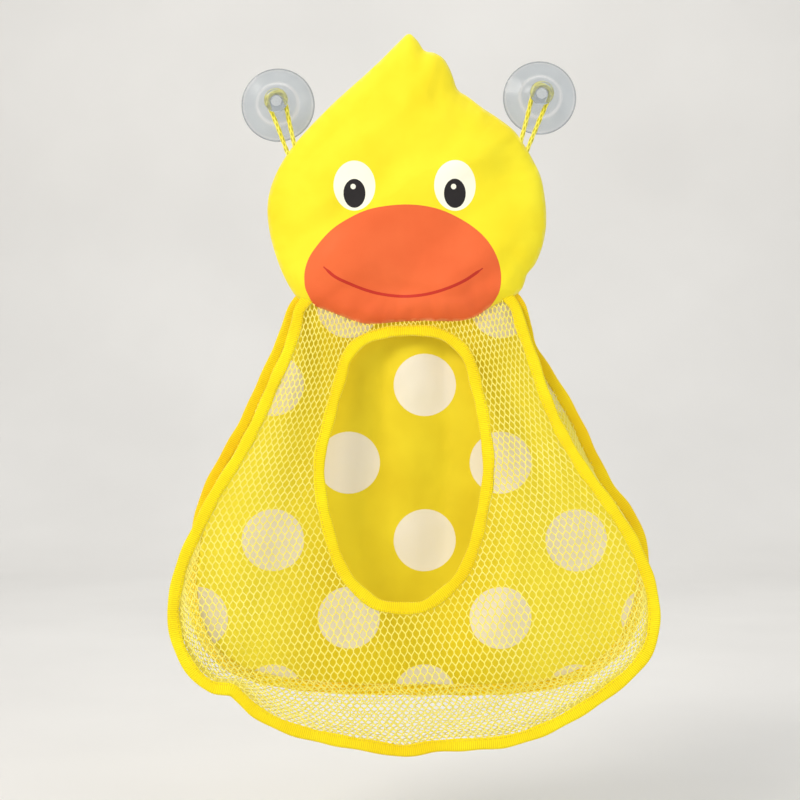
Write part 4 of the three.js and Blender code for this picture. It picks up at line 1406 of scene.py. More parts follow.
@dataclass
class Head:
    """The padded duck head: printed front cloth, padding and back cloth."""

    pattern: HeadPattern
    seam_depth: float
    cloth: float = 0.6 * MM
    pitch: float = 2.2 * MM
    fold: float = 4.6 * MM
    fold_slant: float = math.radians(38)
    pucker: float = 1.9 * MM
    chin_crease: float = 2.6 * MM
    fold_sizes: tuple[float, float] = (36 * MM, 58 * MM)
    pucker_size: float = 9 * MM
    pucker_fade: float = 12 * MM
    crease_size: float = 15 * MM
    crease_fade: float = 13 * MM
    pad_gap: float = 0.9 * MM
    pad_shares: tuple[float, float] = (0.72, 0.5)
    pad_margin: float = 4 * MM
    contact: float = 0.85
    wear: float = 2.5 * MM

    def skins(self, away: Array) -> tuple[Array, Array]:
        """Depths of the front and the back skin at distances from the seam."""
        swell, depth = self.pattern.swelling, self.seam_depth
        return depth + swell(away, self.pattern.front_crown), depth - swell(away, self.pattern.back_crown)

    def creases(self, flat: Array, away: Array) -> Array:
        """Soft folds over the face and puckers near the seam.

        Args:
            flat: Points as (across, height).
            away: Distance of each from the seam.

        Returns:
            How far each point is lifted.
        """
        inner = smoothstep(away, 2 * MM, 22 * MM)
        near = smoothstep(away, 0.5 * MM, 3 * MM) * np.exp(-away / self.pucker_fade)
        middle = np.array([0.0, self.pattern.top - 0.6 * self.pattern.height])
        way = flat - middle
        way = way / np.maximum(np.linalg.norm(way, axis=1, keepdims=True), MM)
        radial = way * (self.pattern.width / 2 - 0.3 * away[:, None])
        cos, sin = math.cos(self.fold_slant), math.sin(self.fold_slant)
        slanted = np.column_stack(
            [(cos * flat[:, 0] + sin * flat[:, 1]) * 0.5, cos * flat[:, 1] - sin * flat[:, 0]]
        )
        broad = ripple(slanted, self.fold_sizes[0], 3.7)
        ridges = 0.9 * (0.3 - np.abs(ripple(slanted, self.fold_sizes[1], 8.4)))
        from_chin = distances(flat, self.pattern.chin_line(), False)
        low = smoothstep(away, 1 * MM, 7 * MM) * np.exp(-from_chin / self.crease_fade)
        return (
            self.fold * inner * (broad + ridges)
            + self.pucker * near * ripple(radial, self.pucker_size, 11.3)
            + self.chin_crease * low * ripple(flat, self.crease_size, 31.2)
        )

    def padding(self, flat: Array, triangles: Array, away: Array) -> Piece:
        """The pad that fills the head.

        Args:
            flat: Points of the whole front as (across, height).
            triangles: Its triangles.
            away: Distance of each point from the seam.

        Returns:
            The swollen pad.
        """
        pattern, (fore, rear) = self.pattern, self.pad_shares
        front = self.seam_depth + self.pad_gap + fore * pattern.swelling(away, pattern.front_crown)
        back = self.seam_depth - self.pad_gap - rear * pattern.swelling(away, pattern.back_crown)
        kept = triangles[(away[triangles] > self.pad_margin).all(axis=1)]
        start = two_sided("head_padding", flat, kept, front, back)
        return PadSimulation().run(start)

    def cast(self, pad: Piece, flat: Array, away: Array) -> tuple[Array, Array]:
        """Lay both cloths on the pad.

        Args:
            pad: The swollen pad.
            flat: Points as (across, height).
            away: Distance of each point from the seam.

        Returns:
            Depth of the front cloth's and of the back cloth's inner face.
        """
        corners = [point.co for point in pad.data.vertices]
        tree = BVHTree.FromPolygons(corners, [tuple(face.vertices) for face in pad.data.polygons])
        front, back = self.skins(away)
        blend = self.contact * smoothstep(away, 7 * MM, 38 * MM)
        for index, (x, z) in enumerate(flat):
            if blend[index] <= 0:
                continue
            for skin, start, way in ((front, -0.2, 1), (back, 0.2, -1)):
                hit = tree.ray_cast(Vector((x, start, z)), Vector((0, way, 0)))[0]
                if hit is not None:
                    skin[index] += blend[index] * (-hit.y - skin[index])
        return front, back

    def hold_in(self, pad: Piece, flat: Array, front: Array, back: Array) -> None:
        """Press the pad's surface in between the two cloths.

        Args:
            pad: The swollen pad.
            flat: Points as (across, height).
            front: Depth of the front cloth's inner face at each of them.
            back: Depth of the back cloth's inner face.
        """
        near = KDTree(len(flat))
        for index, (x, z) in enumerate(flat):
            near.insert((x, 0, z), index)
        near.balance()
        for point in pad.data.vertices:
            found = [index for _, index, _ in near.find_n((point.co.x, 0, point.co.z), 4)]
            least, most = back[found].max() + self.cloth, front[found].min() - self.cloth
            point.co.y = -min(max(-point.co.y, least), max(most, least))
        pad.data.update()

    def build(self, wardrobe: Wardrobe) -> None:
        """Make the head's pieces.

        Args:
            wardrobe: The finishes.
        """
        pattern = self.pattern
        outline = pattern.outline()
        bill, smile = pattern.bill_line(), pattern.smile_outline()
        eyes = {side: pattern.eye_outlines(side) for side in Side}
        lines = [bill, smile, *(line for eye in eyes.values() for line in eye.values())]
        flat, triangles = FlatSheet(outline, lines, self.pitch).cut()
        away = distances(flat, outline, True)
        pad = self.padding(flat, triangles, away)
        inner_front, inner_back = self.cast(pad, flat, away)
        crease = self.creases(flat, away)
        front = np.maximum(inner_front + crease, self.seam_depth)
        edge = np.exp(-away / self.wear)
        self.hold_in(pad, flat, front, inner_back + 0.5 * crease)
        dress(pad, wardrobe.foam)
        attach(pad, Body.HEAD.value)
        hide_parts("head_foam_sheet")
        middles = flat[triangles].mean(axis=1)
        taken = np.zeros(len(triangles), dtype=bool)
        jobs: list[tuple[str, str, Array, Finish, Slot]] = []
        for side in Side:
            eye, label = eyes[side], side.label
            jobs += [
                (f"glint_print_{label}", f"eye_glint_{label}", eye["glint"], wardrobe.white, Slot.WHITE),
                (f"pupil_print_{label}", f"pupil_{label}", eye["pupil"], wardrobe.black, Slot.BLACK),
                (f"eye_print_{label}", f"eye_white_{label}", eye["white"], wardrobe.white, Slot.WHITE),
            ]
        jobs.append(("smile_print", "smile", smile, wardrobe.red, Slot.RED))
        jobs.append(("bill_print", "bill", bill, wardrobe.orange, Slot.ORANGE))
        for name, node, line, material, slot in jobs:
            mine = inside(middles, line) & ~taken
            taken |= mine
            piece = two_sided(name, flat, triangles[mine], front + self.cloth, front, {"edge": edge})
            dress(piece, material)
            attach(piece, Body.HEAD.value)
            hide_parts(node)
        cloth = two_sided(
            "head_front_cloth", flat, triangles[~taken], front + self.cloth, front, {"edge": edge}
        )
        dress(cloth, wardrobe.cloth)
        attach(cloth, Body.HEAD.value)
        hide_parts("head_front_panel")
        back = np.minimum(inner_back + 0.5 * crease, self.seam_depth)
        rear = two_sided("head_back_cloth", flat, triangles, back, back - self.cloth, {"edge": edge})
        dress(rear, wardrobe.cloth)
        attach(rear, Body.HEAD.value)
        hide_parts("head_back_panel")


# ---- cord loops


@dataclass
class CordLoops:
    """The two braided cords that hang the head from the cups."""

    cups: SuctionCups
    pattern: HeadPattern
    diameter: float = 2.8 * MM
    clearance: float = 0.3 * MM
    tail: float = 7 * MM
    strands: int = 8
    braid: float = 6.4 * MM
    relief: float = 0.3 * MM
    groove: float = 0.4
    facets: int = 24
    points: int = 420
    entries: dict[Side, tuple[tuple[float, float], tuple[float, float]]] = field(default_factory=lambda: {
        Side.LEFT: ((-0.44, 0.3955), (-0.4135, 0.368)),
        Side.RIGHT: ((0.424, 0.397), (0.401, 0.368)),
    })

    def route(self, side: Side) -> Array:
        """The cord's middle line from one sewn end over the neck to the other.

        Args:
            side: Which loop.

        Returns:
            Points spaced evenly along it.
        """
        depth = self.cups.loop_depth()
        cup = self.cups.middle(side)
        middle = at(cup[0], depth, cup[2])
        reach = self.cups.neck_diameter / 2 + self.clearance + self.diameter / 2
        ends = []
        for share, sideways in zip(self.entries[side], (side.value, -side.value)):
            across, height = self.pattern.flat(share)
            target = at(across, depth, height)
            down = (target - middle) / np.linalg.norm(target - middle)
            rest = np.array([-down[2], 0, down[0]]) * sideways * reach
            start = middle + rest
            run = (target - start) / np.linalg.norm(target - start)
            ends.append((rest, start, (start + target) / 2, target, target + run * self.tail))
        outer, inner = ends
        first = math.atan2(outer[0][2], outer[0][0])
        sweep = (side.value * (math.atan2(inner[0][2], inner[0][0]) - first)) % (2 * math.pi) * side.value
        bend = [
            middle + reach * np.array(
                [math.cos(first + sweep * step / 6), 0, math.sin(first + sweep * step / 6)]
            )
            for step in range(1, 6)
        ]
        return smooth_line([*outer[:0:-1], *bend, *inner[1:]], self.points)

    def build(self, wardrobe: Wardrobe) -> None:
        """Braid both cords.

        Args:
            wardrobe: The finishes.
        """
        sides = self.facets
        for side in Side:
            line = self.route(side)
            along = travelled(line)
            run = unit(np.gradient(line, axis=0))
            out = np.array([0.0, 1.0, 0.0])
            third = np.cross(run, out)
            angles = np.linspace(0, 2 * math.pi, sides, endpoint=False)
            turn = 2 * math.pi * along[:, None] / self.braid
            half = self.strands / 2
            ridges = np.maximum(np.cos(half * angles + turn), np.cos(half * angles - turn))
            raised = (np.clip(ridges, -self.groove, 1) + self.groove) / (1 + self.groove)
            radius = self.diameter / 2 - self.relief * (1 - raised)
            ring = radius[..., None] * (
                np.cos(angles)[None, :, None] * out + np.sin(angles)[None, :, None] * third[:, None, :]
            )
            points = (line[:, None, :] + ring).reshape(-1, 3)
            count = len(line)
            faces = grid_faces(count, sides, False, True)
            faces += end_caps(count, sides)
            flat = np.column_stack([np.repeat(along, sides), np.tile(angles * self.diameter / 2, count)])
            relief = {"relief": raised.ravel()}
            cord = face_outwards(mesh_object(f"braided_loop_{side.label}", points, faces, flat, relief))
            dress(cord, wardrobe.cord)
            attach(cord, Body.HEAD.value)
            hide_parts(f"cord_loop_{side.label}")


# ---- bag


@dataclass
class Frames:
    """Places along a line with a direction across the tape and one out of it."""

    place: Array
    width: Array
    normal: Array

    @classmethod
    def along(cls, line: Array, targets: Array, closed: bool) -> "Frames":
        """Frames whose width points at their targets.

        Args:
            line: Places.
            targets: One target for each place, or one for all.
            closed: Whether the line returns to its first point.

        Returns:
            The frames, with normals that face forwards.
        """
        if closed:
            run = unit(np.roll(line, -1, axis=0) - np.roll(line, 1, axis=0))
        else:
            run = unit(np.gradient(line, axis=0))
        width = targets - line
        width = unit(width - run * (width * run).sum(axis=1, keepdims=True))
        normal = unit(np.cross(width, run))
        normal[normal[:, 1] > 0] *= -1
        return cls(line, width, normal)

    def shifted(self, across: float, through: float = 0.0) -> Array:
        """Places moved across and out of the tape."""
        return self.place + self.width * across + self.normal * through

    def length(self, closed: bool) -> Array:
        """How far along the line each place lies, with the whole length last if it is closed."""
        line = np.vstack([self.place, self.place[:1]]) if closed else self.place
        return travelled(line)


@dataclass
class BagPattern:
    """The bag's edges, its mouth and its depths."""

    head: HeadPattern
    seam_depth: float
    width: float = 276 * MM
    height: float = 260 * MM
    depth: float = 75 * MM
    belly_bulge: float = 19 * MM
    side_bulge: float = 3 * MM
    gusset_bulge: float = 3 * MM
    free_span: float = 28 * MM
    back_setback: float = 2.9 * MM
    back_depth: float = 4 * MM
    mouth_width: float = 100.5 * MM
    mouth_height: float = 161.5 * MM
    chin_gap: float = 2.2 * MM
    mouth_standoff: float = 5 * MM
    mouth_depth: float = 56 * MM
    mouth_offset: float = -3.3 * MM
    tape: float = 7 * MM
    neck_down: float = 0.923
    neck_widths: float = 1.6235
    tuck: float = 9 * MM
    front: Pairs = (
        (-0.241, 0.02, 0.04), (-0.246, 0.052, 0.096), (-0.264, 0.118, 0.176), (-0.291, 0.185, 0.256),
        (-0.323, 0.271, 0.392), (-0.362, 0.356, 0.536), (-0.412, 0.445, 0.664), (-0.444, 0.517, 0.76),
        (-0.473, 0.589, 0.84), (-0.488, 0.658, 0.888), (-0.491, 0.7, 0.912), (-0.478, 0.77, 0.952),
        (-0.443, 0.831, 0.984), (-0.406, 0.859, 1), (-0.366, 0.866, 1), (-0.348, 0.883, 1),
        (-0.315, 0.914, 1), (-0.25, 0.949, 0.992), (-0.163, 0.973, 0.984), (-0.086, 0.988, 0.976),
        (-0.011, 1, 0.968), (0.051, 0.99, 0.968), (0.127, 0.986, 0.968), (0.199, 0.979, 0.976),
        (0.272, 0.955, 0.984), (0.344, 0.915, 0.992), (0.409, 0.869, 0.992), (0.46, 0.824, 0.984),
        (0.495, 0.775, 0.96), (0.508, 0.715, 0.92), (0.503, 0.646, 0.88), (0.488, 0.595, 0.84),
        (0.463, 0.535, 0.784), (0.417, 0.458, 0.688), (0.37, 0.387, 0.584), (0.324, 0.3, 0.44),
        (0.292, 0.216, 0.304), (0.269, 0.135, 0.2), (0.247, 0.064, 0.112), (0.233, 0.012, 0.04),
    )
    back: Pairs = (
        (-0.257, 0.018), (-0.274, 0.073), (-0.304, 0.146), (-0.333, 0.212), (-0.362, 0.279),
        (-0.393, 0.337), (-0.422, 0.392), (-0.446, 0.442), (-0.466, 0.512), (-0.478, 0.588),
        (-0.484, 0.662), (-0.475, 0.738), (-0.446, 0.808), (-0.395, 0.858), (-0.319, 0.888),
        (-0.199, 0.906), (-0.072, 0.912), (0.072, 0.913), (0.199, 0.912), (0.326, 0.896), (0.406, 0.865),
        (0.467, 0.812), (0.504, 0.738), (0.517, 0.669), (0.522, 0.612), (0.511, 0.546), (0.486, 0.492),
        (0.446, 0.437), (0.406, 0.358), (0.375, 0.288), (0.345, 0.23), (0.308, 0.168), (0.271, 0.106),
        (0.259, 0.062), (0.247, 0.01),
    )
    mouth: Pairs = (
        (-0.106, -0.001), (0.03, -0.009), (0.132, -0.008), (0.232, 0.006), (0.308, 0.035), (0.37, 0.077),
        (0.409, 0.131), (0.436, 0.206), (0.467, 0.287), (0.485, 0.37), (0.5, 0.467), (0.492, 0.558),
        (0.467, 0.642), (0.419, 0.767), (0.334, 0.885), (0.242, 0.943), (0.117, 0.993), (-0.022, 1),
        (-0.153, 0.986), (-0.226, 0.956), (-0.309, 0.908), (-0.377, 0.84), (-0.429, 0.747), (-0.48, 0.621),
        (-0.5, 0.495), (-0.49, 0.435), (-0.464, 0.373), (-0.407, 0.233), (-0.373, 0.163), (-0.347, 0.1),
        (-0.309, 0.063), (-0.239, 0.025),
    )

    def __post_init__(self) -> None:
        """Work out the places that follow from the sizes."""
        self.top = self.head.top - self.head.height * self.neck_down
        self.mouth_top = self.head.top - self.head.height - self.chin_gap - self.tape / 2
        self.panel_middle = at(0, self.back_depth, self.top - self.height / 2)

    def across(self, share: float, down: float) -> float:
        """Distance across from its share, which counts head widths near the neck."""
        neck = self.head.width * self.neck_widths
        return share * (neck + (self.width - neck) * float(smoothstep(down, 0, 0.3)))

    def cloth_depth(self, height: Array) -> Array:
        """Depth of the back cloth's edge at a height."""
        neck = self.seam_depth - self.back_setback
        return neck + (self.back_depth - neck) * smoothstep((self.top - height) / self.height, 0, 0.5)

    def tucked(self, line: Array, depth: float) -> Array:
        """The line run on at both ends, up into the head's seam.

        Args:
            line: Places along an edge, from neck to neck.
            depth: Depth of the added ends.

        Returns:
            The longer line.
        """
        ends = []
        for end, following in ((line[0], line[3]), (line[-1], line[-4])):
            run = (end - following) / np.linalg.norm(end - following)
            raised = end + self.tuck * (0.6 * run + 0.4 * np.array([-np.sign(end[0]), 0, 0.6]))
            ends.append(at(raised[0], depth, raised[2]))
        return np.vstack([ends[0], line, ends[1]])

    def front_line(self, count: int) -> Array:
        """The front edge from the left neck, under the bag, to the right neck.

        Args:
            count: Number of points.

        Returns:
            Places along it.
        """
        points = np.array([
            at(
                self.across(share, down), self.seam_depth + (self.depth - self.seam_depth) * forward,
                self.top - down * self.height,
            )
            for share, down, forward in self.front
        ])
        return smooth_line(self.tucked(points, self.seam_depth + 0.8 * MM), count)

    def back_line(self, count: int) -> Array:
        """The back edge in the same order.

        Args:
            count: Number of points.

        Returns:
            Places along it.
        """
        heights = [self.top - down * self.height for _, down in self.back]
        points = np.array([
            at(self.across(share, down), float(self.cloth_depth(height)), height)
            for (share, down), height in zip(self.back, heights)
        ])
        return smooth_line(self.tucked(points, self.seam_depth - 1.2 * MM), count)

    def mouth_line(self, count: int) -> Array:
        """The mouth's edge once round.

        Args:
            count: Number of points.

        Returns:
            Places along it.
        """
        points = []
        for across, down in self.mouth:
            height = self.mouth_top - down * self.mouth_height
            share = min(max(down, 0), 1) ** 0.85
            top = self.seam_depth + self.mouth_standoff
            depth = top + (self.mouth_depth - top) * share
            points.append(at(self.mouth_offset + across * self.mouth_width, depth, height))
        return smooth_line(points, count, True)

    def turn(self, places: Array) -> Array:
        """The direction of places from the mouth's middle, as an angle."""
        middle = at(self.mouth_offset, 0, self.mouth_top - self.mouth_height / 2)
        return np.arctan2(places[:, 2] - middle[2], places[:, 0] - middle[0])

    def towards_mouth(self, places: Array, mouth: Array) -> Array:
        """The mouth's points seen from its middle in the directions of places.

        Args:
            places: Places round the mouth.
            mouth: The mouth's line.

        Returns:
            One point of the mouth for each place.
        """
        own, wanted = self.turn(mouth), self.turn(places)
        order = np.argsort(own)
        return np.column_stack([
            np.interp(wanted, own[order], mouth[order, axis], period=2 * math.pi) for axis in range(3)
        ])

    def swell(self, height: Array) -> Array:
        """How far the front net stands out of its straight span at a height."""
        share = smoothstep((self.top - height) / self.height, 0.32, 0.78)
        return self.side_bulge + (self.belly_bulge - self.side_bulge) * share


@dataclass
class Bag:
    """The bag's nets, its back cloth and its binding tapes."""

    pattern: BagPattern
    steps: int = 520
    net_pitch: float = 4.05 * MM
    net_row: float = 3.8 * MM
    net_slope: float = math.radians(7)
    net_gauge: float = 0.7 * MM
    net_lens: float = 1.8
    net_gather: float = 0.55
    rib: float = 1.15 * MM
    rib_depth: float = 0.16 * MM
    ring_gap: float = 0.3 * MM
    stitch: tuple[float, float, float] = (2.9 * MM, 2.1 * MM, 0.42 * MM)
    blend_start: float = -137.6 * MM
    blend_end: float = -168 * MM
    fold: float = 2.4 * MM
    fold_pitch: float = 46 * MM
    net_overlap: float = 1.5 * MM
    net_slack: float = 0.12
    gusset_tuck: float = 2.5 * MM
    cloth_pitch: float = 3.6 * MM
    cloth_half: float = 0.35 * MM
    crumple: float = 0.5 * MM
    crumple_pitch: float = 26 * MM
    stitch_inset: float = 1.2 * MM
    stitch_lift: float = 1.12 * MM

    def __post_init__(self) -> None:
        """Lay out the edge lines and their frames."""
        pattern = self.pattern
        self.front_line = pattern.front_line(self.steps)
        self.back_line = pattern.back_line(self.steps)
        self.mouth_fine = pattern.mouth_line(900)
        self.front_frames = Frames.along(
            self.front_line, pattern.towards_mouth(self.front_line, self.mouth_fine), False
        )
        self.back_frames = Frames.along(self.back_line, pattern.panel_middle[None, :], False)
        self.nets = HexNet()
        self.ribs = Ribs()
        self.rows = Stitches()

    def join(self, piece: Piece, *nodes: str) -> None:
        """Bake a finished piece's place into its mesh, and hide the nodes that it stands for.

        Args:
            piece: The piece.
            nodes: Nodes that it stands for.
        """
        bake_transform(piece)
        if nodes:
            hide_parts(*nodes)

    def chin(self, raise_by: float, depth: float) -> Array:
        """The seam below the head, raised into it, from right to left.

        Args:
            raise_by: How far into the head.
            depth: Depth of all its points.

        Returns:
            Places along it.
        """
        line = self.pattern.head.chin_line(160)[::-1][4:-4]
        return np.array([at(x * 0.97, depth, z + raise_by) for x, z in line])

    def front_carrier(self) -> Piece:
        """The surface of the front net, with a map that shows it from the front.

        Returns:
            An open surface from the mouth to the edge.
        """
        pattern = self.pattern
        chin = self.chin(0.2 * MM, pattern.seam_depth)
        tape = self.front_frames.shifted(pattern.tape / 2)
        turned = pattern.turn(chin) % (2 * math.pi)
        first, final = pattern.turn(tape[[-1, 0]]) % (2 * math.pi)
        chin = chin[(turned > first) & (turned < final)]
        rim = np.vstack([tape, chin])
        outer = np.vstack([self.front_frames.shifted(-self.net_overlap), chin + (0, 0, 3 * MM)])
        mouth = pattern.towards_mouth(rim, self.mouth_fine)
        frames = Frames.along(mouth, rim, True)
        start = frames.shifted(pattern.tape / 2)
        room = np.minimum(np.linalg.norm(rim - start, axis=1) / pattern.free_span, 1)[:, None]
        rows = [frames.shifted(-self.net_overlap), mouth]
        for share in np.linspace(0, 1, 15):
            places = start + (rim - start) * share
            bulge = pattern.swell(places[:, 2])[:, None] * room * math.sin(math.pi * share) ** 2
            slack = 1 + self.net_slack * np.array(
                [noise.noise(Vector((x * 22, 5, z * 22))) for x, _, z in places]
            )[:, None]
            rows.append(places + np.array([0, -1, 0]) * bulge * slack)
        rows.append(outer)
        points = np.vstack(rows)
        flat = points[:, [0, 2]] - (0, pattern.top - pattern.height / 2)
        down = (pattern.top - points[:, 2]) / pattern.height
        flat[:, 0] *= 1 + self.net_gather * (1 - smoothstep(down, 0.0, 0.55))
        return mesh_object("front_hex_net", points, grid_faces(len(rows), len(rim), False, True), flat)

    def gusset_carrier(self) -> Piece:
        """The surface of the side net, with a map of its true lengths.

        Returns:
            An open band from the front edge to the back edge.
        """
        pattern = self.pattern
        half, tuck = pattern.tape / 2, self.gusset_tuck
        front = self.front_frames.shifted(half + 0.2 * MM, -0.6 * MM)
        back = self.back_frames.shifted(half + 0.2 * MM, 0.6 * MM)
        length = travelled((front + back) / 2)
        gap = np.linalg.norm(front - back, axis=1)
        along = length - length[-1] / 2
        rows = [self.front_frames.shifted(half - tuck, -0.2 * MM)]
        maps = [np.column_stack([along, -0.5 * gap - tuck])]
        for share in np.linspace(0, 1, 12):
            bulge = pattern.gusset_bulge * gap / pattern.depth * math.sin(math.pi * share)
            slack = np.array([noise.noise(Vector((place * 30, share * 2, 9))) for place in length])
            outwards = self.front_frames.width * (bulge * (1 + 0.8 * slack))[:, None]
            rows.append(front + (back - front) * share - outwards)
            maps.append(np.column_stack([along, (share - 0.5) * gap]))
        rows.append(self.back_frames.shifted(half - tuck, 0.2 * MM))
        maps.append(np.column_stack([along, 0.5 * gap + tuck]))
        faces = grid_faces(len(rows), len(front), False, False)
        return mesh_object("side_hex_net", np.vstack(rows), faces, np.vstack(maps))

    def weave(self, carrier: Piece, size: tuple[float, float], wardrobe: Wardrobe, node: str) -> None:
        """Weave a net over a carrier.

        Args:
            carrier: Surface with its own map.
            size: Length and height of the map.
            wardrobe: The finishes.
            node: The node that the net stands for.
        """
        turned = math.cos(self.net_slope), math.sin(self.net_slope)
        reach = (size[0] * turned[0] + size[1] * turned[1], size[1] * turned[0] + size[0] * turned[1])
        net = self.nets.run(carrier, {
            "Pitch": self.net_pitch, "Row": self.net_row, "Slope": self.net_slope,
            "Gauge": self.net_gauge, "Lens": self.net_lens,
            "Columns": int(reach[0] / self.net_pitch) + 4, "Rows": int(reach[1] / self.net_row) + 4,
            "Sides": 6, "Material": wardrobe.net,
        })
        dress(net, wardrobe.net)
        self.join(net, node)

    def back_cloth(self, wardrobe: Wardrobe) -> None:
        """The dotted cloth at the back, with its soft upright folds.

        Args:
            wardrobe: The finishes.
        """
        pattern = self.pattern
        rim = self.back_frames.shifted(1.0 * MM)[6:-6, [0, 2]]
        chin = self.chin(1.0 * MM, 0)[:, [0, 2]]
        outline = evenly(np.vstack([rim, chin]), 420, True)
        flat, triangles = FlatSheet(outline, [], self.cloth_pitch).cut()
        away = distances(flat, outline, True)
        from_chin = distances(flat, chin, False)
        depth = pattern.cloth_depth(flat[:, 1])
        depth = depth + (pattern.seam_depth - 0.6 * MM - depth) * np.exp(-from_chin / (7 * MM))
        loose = smoothstep(away, 3 * MM, 24 * MM)
        down = (pattern.top - flat[:, 1]) / pattern.height
        fan = flat[:, 0] / (self.fold_pitch * (0.75 + 0.6 * down))
        phase = 2 * math.pi * (fan + 0.127 + 0.35 * down)
        crisp = 2 * np.abs(np.sin(phase / 2 + math.pi / 4)) - 1
        folds = 0.5 * (np.sin(phase) + crisp) * (1 - 0.65 * smoothstep(down, 0.3, 1.0))
        creases = 0.45 * ripple(flat, 30 * MM, 21.0) + 0.25 * ripple(flat, 11 * MM, 5.0)
        depth = depth + self.fold * loose * (folds + creases)
        edge = np.exp(-away / (3 * MM))
        half = self.cloth_half
        cloth = two_sided("dotted_back_cloth", flat, triangles, depth + half, depth - half, {"edge": edge})
        dress(cloth, wardrobe.dotted)
        self.join(cloth, "back_panel")

    def tape_section(self) -> Array:
        """The folded tape's section, fold first.

        Returns:
            Rows of place across, place through, and 1 on the outer face.
        """
        half = self.pattern.tape / 2
        outer = [
            (half, 0.8), (half - 0.9 * MM, 1.0), (half - 2.4 * MM, 1.15), (0, 1.25),
            (-half + 2.2 * MM, 1.3), (-half + 1.0 * MM, 1.2), (-half + 0.3 * MM, 0.8), (-half, 0),
        ]
        inner = [(half, 0.45), (half - 2.5 * MM, 0.45), (-half + 1.4 * MM, 0.45)]
        front = [(across, through * MM, 1) for across, through in outer]
        rear = [(across, -through, 1) for across, through, _ in front[-2::-1]]
        lining = [(across, -through * MM, 0) for across, through in inner]
        lining += [(across, -through, 0) for across, through, _ in lining[::-1]]
        return np.array([*front, *rear, *lining])

    def bind(
        self, name: str, frames: Frames, closed: bool, material: Finish, wardrobe: Wardrobe, node: str,
    ) -> None:
        """Sew a binding tape along an edge.

        Args:
            name: Name of the piece.
            frames: Frames along the edge.
            closed: Whether the tape meets itself.
            material: Its finish.
            wardrobe: The finishes, for the stitches.
            node: The node that the tape stands for.
        """
        total = frames.length(closed)[-1]
        count = int(total / self.ring_gap)
        if closed:
            count = int(total / self.rib) * int(round(self.rib / self.ring_gap))
        place = evenly(frames.place, count, closed)
        share = frames.length(closed)
        wanted = np.linspace(0, total, count, endpoint=not closed)
        fine = []
        for part in (frames.width, frames.normal):
            whole = np.vstack([part, part[:1]]) if closed else part
            sampled = np.column_stack([np.interp(wanted, share, whole[:, axis]) for axis in range(3)])
            fine.append(unit(sampled))
        width, normal = fine
        phase = 2 * math.pi * wanted / total
        turns = max(3, round(total / self.crumple_pitch))
        wave = (
            0.45 * np.sin(turns * phase + 0.7) + 0.3 * np.sin((turns // 2) * phase + 2.1)
            + 0.25 * np.sin((2 * turns + 1) * phase)
        )
        crumple = (self.crumple * wave)[:, None]
        slim = (1 + 0.06 * np.sin((turns + 2) * phase + 1.3))[:, None, None]
        section = self.tape_section()
        points = (
            (place + normal * crumple)[:, None, :]
            + width[:, None, :] * section[None, :, 0, None] * slim
            + normal[:, None, :] * section[None, :, 1, None]
        ).reshape(-1, 3)
        sides = len(section)
        faces = grid_faces(count, sides, closed, True)
        if not closed:
            faces += end_caps(count, sides)
        pitch = total / round(total / self.rib)
        lengths = np.repeat(wanted, sides) * (self.rib / pitch if closed else 1)
        across = np.tile(section[:, 0], count)
        edge = np.exp(-np.abs(np.abs(across) - self.pattern.tape / 2) / (0.6 * MM))
        tape = face_outwards(mesh_object(
            name, points, faces, np.column_stack([lengths, across]),
            {"along": lengths, "outer": np.tile(section[:, 2], count), "edge": edge},
        ))
        tape = self.ribs.run(tape, {"Pitch": self.rib, "Depth": self.rib_depth, "Material": material})
        dress(tape, material)
        self.join(tape, node)
        lift = self.stitch_lift
        inset = self.pattern.tape / 2 - self.stitch_inset
        guide = place + normal * crumple + width * inset + normal * lift
        for label, line in (("front", guide), ("rear", guide - 2 * normal * lift)):
            self.stitch_row(f"{name}_{label}_stitches", line, closed, wardrobe)

    def stitch_row(self, name: str, line: Array, closed: bool, wardrobe: Wardrobe) -> None:
        """Sew a row of stitches along a line.

        Args:
            name: Name of the piece.
            line: Places along the row.
            closed: Whether the row meets itself.
            wardrobe: The finishes.
        """
        mesh = bpy.data.meshes.new(name)
        coarse = line[::6]
        edges = [(index, index + 1) for index in range(len(coarse) - 1)]
        if closed:
            edges.append((len(coarse) - 1, 0))
        mesh.from_pydata(coarse.tolist(), edges, [])
        guide = placed(name, mesh)
        pitch, length, gauge = self.stitch
        row = self.rows.run(guide, {
            "Pitch": pitch, "Length": length, "Gauge": gauge, "Material": wardrobe.stitch,
        })
        dress(row, wardrobe.stitch)
        self.join(row)

    def build(self, wardrobe: Wardrobe) -> None:
        """Make the bag's pieces.

        Args:
            wardrobe: The finishes.
        """
        pattern = self.pattern
        self.back_cloth(wardrobe)
        self.weave(
            self.front_carrier(), (pattern.width + 12 * MM, pattern.height + 24 * MM), wardrobe, "front_net"
        )
        length = float(self.front_frames.length(False)[-1])
        self.weave(self.gusset_carrier(), (length, pattern.depth), wardrobe, "gusset_net")
        mouth = evenly(self.mouth_fine, 600, True)
        mouth_frames = Frames.along(mouth, self.rim_beyond(mouth), True)
        self.bind("mouth_tape", mouth_frames, True, wardrobe.tape, wardrobe, "mouth_binding")
        self.bind(
            "front_edge_tape", self.front_frames, False, wardrobe.tape, wardrobe, "front_edge_binding"
        )
        self.bind(
            "back_edge_tape", self.back_frames, False, wardrobe.shaded_back_tape, wardrobe, "back_edge_binding"
        )

    def rim_beyond(self, mouth: Array) -> Array:
        """The bag's rim seen from the mouth's middle in the directions of its points.

        Args:
            mouth: Places round the mouth.

        Returns:
            One place of the rim for each.
        """
        pattern = self.pattern
        chin = self.chin(2.5 * MM, pattern.seam_depth + 0.5 * MM)
        rim = np.vstack([self.front_line[4:-4], chin])
        return pattern.towards_mouth(mouth, rim)


# ---- studio


